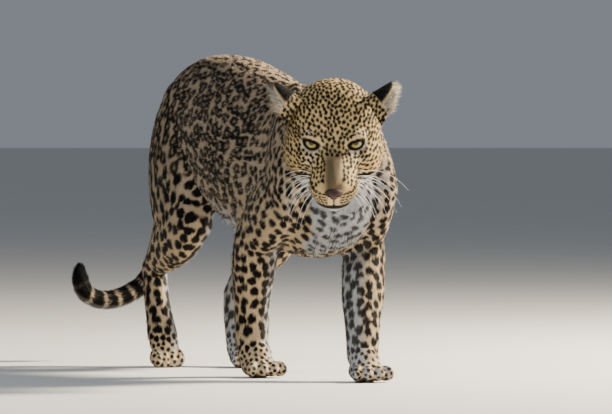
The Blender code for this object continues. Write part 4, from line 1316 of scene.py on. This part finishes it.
def buildMesh(name, points, faces, patches, colours, normals):
    data = bpy.data.meshes.new(name)
    data.vertices.add(len(points))
    data.vertices.foreach_set("co", points.ravel())
    data.loops.add(faces.size)
    data.loops.foreach_set("vertex_index", faces.ravel())
    data.polygons.add(len(faces))
    data.polygons.foreach_set("loop_start", np.arange(0, faces.size, 3))
    data.update(calc_edges=True)
    data.uv_layers.new(name="OFBake").data.foreach_set("uv", patches[faces.ravel()].ravel())
    data.shade_smooth()
    data.normals_split_custom_set_from_vertices(normals)
    piece = addObject(name, data)
    paintPoints(piece, colours)
    return piece


coatPieces = []


def tuftPiece(name, roots, normals, lie, length, width, rise, colour, unwrap, bent=False):
    # one blade for each root: three sides that meet in a point, with two bends if it is long
    count = len(roots)
    across = np.cross(lie, normals)
    low = roots - normals * tufts["sunk"]
    stations = [(0.0, 0.0, 1.0), (1.0, 1.0, 0.0)]
    if bent:
        stations = [(0.0, 0.0, 1.0), (0.40, 0.75, 0.85), (0.74, 1.05, 0.52), (1.0, 1.0, 0.0)]
    rings = []
    shades = []
    for along, up, broad in stations:
        middle = low + lie * (length * along)[:, None] + normals * (rise * up)[:, None]
        half = (0.5 * width * broad)[:, None]
        # each blade is painted darker at its root and lighter at its tip: painted shade deep in the coat and
        # painted light on the tips
        shade = 0.70 + 0.42 * along
        if broad > 0.0:
            rings += [middle - across * half, middle + across * half, middle + normals * half * 0.7]
            shades += [shade] * 3
        else:
            rings.append(middle)
            shades.append(shade)
    each = len(rings)
    faces = [(0, 1, 2)]
    for level in range(len(stations) - 2):
        a = level * 3
        for i in range(3):
            j = (i + 1) % 3
            faces += [(a + j, a + i, a + 3 + j), (a + 3 + j, a + i, a + 3 + i)]
    a = (len(stations) - 2) * 3
    faces += [(a + (i + 1) % 3, a + i, each - 1) for i in range(3)]
    points = np.stack(rings, axis=1).reshape(-1, 3)
    faces = (np.array(faces)[None] + (np.arange(count) * each)[:, None, None]).reshape(-1, 3)
    shades = np.array(shades)[None, :, None] * random.uniform(*tufts["shades"], count)[:, None, None]
    # the colour runs from that at the root to that under the tip
    alongs = np.repeat([row[0] for row in stations], [3] * (len(stations) - 1) + [1])[None, :, None]
    colours = colour[0][:, None, :] * (1.0 - alongs) + colour[1][:, None, :] * alongs
    colours = (colours * shades).reshape(-1, 3)
    spread = np.array([[(i % 3) * 0.5, i / each] for i in range(each)]) * tufts["patch"]
    patches = (unwrap[:, None, :] + spread[None]).reshape(-1, 2)
    tilt = normals + random.normal(0.0, tufts["normalStray"], (count, 3))
    shown = np.repeat(tilt / np.linalg.norm(tilt, axis=1)[:, None], each, axis=0)
    piece = buildMesh(name, points, faces, patches, colours, shown)
    piece.data.materials.append(tuftMaterial)
    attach(piece, "root")
    coatPieces.append((name, len(faces)))


def sizesAt(points, part):
    # number per area, length, width and rise of the tufts at each place, by the part of the body
    low = smoothStep(0.075, 0.040, points[:, 2])
    high = smoothStep(0.30, 0.42, points[:, 2])
    face = smoothStep(-0.030, 0.020, toHead(points)[:, 1])
    legs, onHead = onPart(part, *fore, *hind), onPart(part, "head")
    shares = {
        "trunk": onPart(part, "trunk") + legs * high,
        "neck": onPart(part, "neck"),
        "limb": legs * (1.0 - high) * (1.0 - low),
        "paw": legs * low,
        "tail": onPart(part, "tail"),
        "head": onHead * (1.0 - face),
        "face": onHead * face,
        "ear": np.zeros(len(points)),
    }
    keys = ("perArea", "length", "width", "rise")
    table = np.array([[tufts[name][key] for key in keys] for name in shares])
    share = np.stack(list(shares.values()), axis=1)
    share[earPlaces(points)[0] > 0.0] = [name == "ear" for name in shares]
    return (share @ table).T


def lidsAndLips(points):
    # bare rims: no tufts on the eyes, the lid edges, the lips and round the nose pad
    local = toHead(points)
    keep = np.ones(len(points))
    for side in sides.values():
        seen = inEye(points, side)
        keep *= (lidRim(seen, 0.0022) > 1.0) | (seen[:, 1] < 0.0)
    keep *= ~((np.abs(local[:, 2] - mouthHeight(local)) < 0.0016) & (local[:, 1] > mouth["back"]))
    nose = (local - np.array((0.0, 0.0925, -0.034))) / np.array((0.0175, 0.012, 0.0105))
    return keep * (np.linalg.norm(nose, axis=1) > 1.0)


def unwrapOf(around, far, points):
    # round the limb across and along it upwards, with the ears moved up
    u = around / (2.0 * math.pi) + 0.5
    v = np.clip(far / 1.15, -0.05, 0.95) + 0.05
    v = np.where(earPlaces(points)[0] > 0.0, v * 0.3 + 0.65, v)
    return np.stack([u * 0.99, v * 0.99], axis=1)


def growCoat():
    weight = sizesAt(skinPoints, skinPart)[0] * lidsAndLips(skinPoints)
    weight = weight * smoothStep(0.002, 0.006, skinPoints[:, 2]) * tufts["thinning"]
    count = int((weight[triangles].mean(axis=1) * triangleArea).sum())
    roots, normals = scatter(weight, count)
    lie, part, around, far = readFlow(roots, normals)
    out, outward = earPlaces(roots)[::2]
    isEar = out > 0.0
    lie[isEar] = alongSkin(outward, normals)[isEar]
    lie = alongSkin(lie + random.normal(0.0, tufts["stray"], lie.shape), normals)
    length, width, rise = sizesAt(roots, part)[1:]
    length = length * random.uniform(0.72, 1.15, count)
    width = width / math.sqrt(tufts["thinning"]) * random.uniform(0.8, 1.15, count)
    rise = rise * random.uniform(0.55, 1.25, count)
    colour = [coatColour(roots + lie * length[:, None] * share, normals, part, far, spots)
              for share in tufts["colourAt"]]
    unwrap = unwrapOf(around, far, roots)
    x, y = (roots - np.array(stand))[:, :2].T
    trunk, onHead = onPart(part, "trunk"), onPart(part, "head")
    ahead, behind = y < tufts["flank"][0], y >= tufts["flank"][1]
    middle = trunk & ~ahead & ~behind
    groups = {
        "coatShoulders": trunk & ahead,
        "coatFlankLeft": middle & (x >= 0.0),
        "coatFlankRight": middle & (x < 0.0),
        "coatRump": trunk & behind,
        "coatNeck": onPart(part, "neck"),
        "coatTail": onPart(part, "tail"),
        "coatRightFore": onPart(part, "rightFore"),
        "coatLeftFore": onPart(part, "leftFore"),
        "coatRightHind": onPart(part, "rightHind"),
        "coatLeftHind": onPart(part, "leftHind"),
        "coatHeadLeft": onHead & (toHead(roots)[:, 0] >= 0.0),
        "coatHeadRight": onHead & (toHead(roots)[:, 0] < 0.0),
    }
    for name, chosen in groups.items():
        index = np.nonzero(chosen)[0]
        if len(index) > tufts["mostInPiece"]:
            print(name, "has", len(index), "tufts and is cut to", tufts["mostInPiece"])
            index = index[:tufts["mostInPiece"]]
        tuftPiece(name, roots[index], normals[index], lie[index], length[index], width[index],
                  rise[index], [ends[index] for ends in colour], unwrap[index])


def growLong(name, weight):
    # longer hairs that break the outline
    look = longHair[name]
    count = int(look["count"] * (1.0))
    roots, normals = scatter(weight, count)
    lie, part, around, far = readFlow(roots, normals)
    out, outward = earPlaces(roots)[::2]
    lie = np.where((out > 0.0)[:, None], outward, lie)
    lie = lie + normals * look["lift"] + np.array((0.0, 0.0, -look["hang"]))
    lie = lie + random.normal(0.0, 0.12, lie.shape)
    lie /= np.linalg.norm(lie, axis=1)[:, None]
    length = look["length"] * random.uniform(0.55, 1.15, count)
    width = look["width"] * random.uniform(0.8, 1.2, count)
    colour = coatColour(roots, normals, part, far, spots)
    tuftPiece("long_" + name, roots, normals, lie, length, width, length * 0.10, [colour, colour],
              unwrapOf(around, far, roots), True)


tuftMaterial = coatMaterial("tuftFur", 420.0, 0.0004)
growCoat()
print("short coat grown")
skinHeight = skinPoints[:, 2] - stand.z
skinLocal = toHead(skinPoints)
earOut, earInside = earPlaces(skinPoints)[:2]
onSkinHead = onPart(skinPart, "head")
underside = smoothStep(0.35, 0.85, -skinNormals[:, 2]) * onPart(skinPart, "trunk", "neck")
cheeks = smoothStep(0.045, 0.070, np.abs(skinLocal[:, 0])) * smoothStep(0.0, -0.03, skinLocal[:, 2])
throat = smoothStep(-0.080, -0.095, skinLocal[:, 2]) * (skinLocal[:, 1] < 0.03)
elbows = onPart(skinPart, *fore) * smoothStep(0.3, 0.8, skinNormals[:, 1])
longWeights = {
    "belly": underside * (skinHeight < 0.42),
    "ruff": np.maximum(onSkinHead * cheeks, onSkinHead * throat) * (earOut < 0.0),
    "earCup": (earOut > 0.0) * earInside,
    "earRim": (earOut > 0.0) * smoothStep(0.80, 1.0, earAhead(skinPoints)),
    "elbow": elbows * smoothStep(0.17, 0.24, skinHeight) * smoothStep(0.38, 0.32, skinHeight),
    "tailTip": onPart(skinPart, "tail") * smoothStep(0.60, 0.66, skinFar),
}
for name, weight in longWeights.items():
    growLong(name, weight)
print("long hair grown", coatPieces, sum(count for name, count in coatPieces))


# whiskers and brow hairs
whiskers = {
    "length": 0.090, "widest": 0.158, "root": 0.00060, "steps": 7, "brow": 2, "browLength": 0.040,
}


def addWhisker(bm, root, out, droop, length, thick=1.0):
    loops = []
    side = out.cross(Vector((0.0, 0.0, 1.0))).normalized()
    place = root.copy()
    way = out.normalized()
    for step in range(whiskers["steps"] + 1):
        t = step / whiskers["steps"]
        radius = whiskers["root"] * thick * (1.0 - 0.88 * t)
        up = side.cross(way).normalized()
        ring = ringPlace(place, side, up, radius, radius)
        made = bmesh.ops.create_circle(bm, cap_ends=False, segments=4, radius=1.0, matrix=ring)["verts"]
        loops.append(edgesOf(made))
        place = place + way * length / whiskers["steps"]
        way = (way + droop * (1.2 / whiskers["steps"])).normalized()
    bridgeLoops(bm, loops)


def makeWhiskers():
    bm = bmesh.new()
    turn = head.to_3x3()
    for side in sides.values():
        for i, spot in enumerate(padSpots(side)):
            row, back = divmod(i, whiskerPad["spots"])
            if back == 0:
                continue
            spread = random.normal(0.0, 0.06, 3)
            out = Vector((side * 0.80, 0.10 - 0.08 * back, 0.10 - 0.34 * row)) + Vector(spread)
            length = whiskers["length"] * (0.80 + 0.12 * back) * random.uniform(0.7, 1.15)
            start = Vector((spot.x * 0.93, spot.y - 0.003, spot.z))
            wide = abs((turn @ out).normalized().x)
            length = min(length, (whiskers["widest"] - abs((head @ start).x)) / max(wide, 0.1))
            addWhisker(bm, head @ start, turn @ out, Vector((0.0, 0.0, -1.25)), length)
        for i in range(whiskers["brow"]):
            start = Vector((side * (0.034 + 0.004 * i), -0.008, 0.017))
            out = Vector((side * (0.35 + 0.16 * i), 0.35, 0.75))
            length = whiskers["browLength"] * random.uniform(0.7, 1.1)
            addWhisker(bm, head @ start, turn @ out, Vector((side * 0.2, -0.3, 0.2)), length, 0.5)
    closeEnds(bm)
    piece = makeObject("whiskers", bm)
    piece.data.shade_smooth()
    return piece


whiskerPiece = makeWhiskers()
hornColours = ((0.62, 0.60, 0.56), (0.88, 0.87, 0.84))
whiskerPiece.data.materials.append(mottledMaterial("whiskerHorn", 0.35, 0.5, 160.0, hornColours))
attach(whiskerPiece, "root")
print("whiskers made")


# floor, light and camera
def makeFloor():
    bm = bmesh.new()
    bmesh.ops.create_grid(bm, x_segments=1, y_segments=1, size=90.0)
    piece = makeObject("floor", bm)
    colours = ((0.60, 0.59, 0.57), (0.66, 0.65, 0.63))
    piece.data.materials.append(mottledMaterial("floorPaper", 0.85, 0.2, 3.0, colours))
    return piece


makeFloor()

# the camera stands the distance away from aim, against azimuth, at its own height
view = {
    "azimuth": (0.375, 0.927), "distance": 11.67, "height": 0.546, "aim": (0.0, 0.077, 0.327), "lens": 359.6,
}
# lamps by place, size, power and colour, the sky by strength and colour
light = {
    "key": ((3.2, -0.6, 2.4), 0.8, 900.0, (1.0, 0.87, 0.68)),
    "front": ((-3.4, -3.6, 3.2), 1.4, 140.0, (0.88, 0.94, 1.0)),
    "fill": ((2.0, -5.0, 1.8), 2.6, 70.0, (0.94, 0.97, 1.0)),
    "sky": (0.26, (0.80, 0.89, 1.0)),
    "aim": (0.0, 0.0, 0.3),
}


def aimAt(piece, target):
    piece.rotation_euler = (Vector(target) - piece.location).to_track_quat("-Z", "Y").to_euler()


for name in ("key", "front", "fill"):
    place, size, power, colour = light[name]
    lamp = bpy.data.lights.new(name, "AREA")
    lamp.size = size
    lamp.energy = power
    lamp.color = colour
    holder = addObject(name, lamp)
    holder.location = place
    aimAt(holder, light["aim"])

world = bpy.data.worlds.new("studio")
world.use_nodes = True
world.node_tree.nodes["Background"].inputs["Color"].default_value = (*light["sky"][1], 1.0)
world.node_tree.nodes["Background"].inputs["Strength"].default_value = light["sky"][0]
bpy.context.scene.world = world

camera = addObject("camera", bpy.data.cameras.new("camera"))
camera.data.lens = view["lens"]
camera.data.sensor_width = 36.0
camera.data.clip_end = 60.0
aim = Vector(view["aim"]) + stand
camera.location = (aim.x - view["azimuth"][0] * view["distance"],
                   aim.y - view["azimuth"][1] * view["distance"], view["height"])
aimAt(camera, aim)
bpy.context.scene.camera = camera
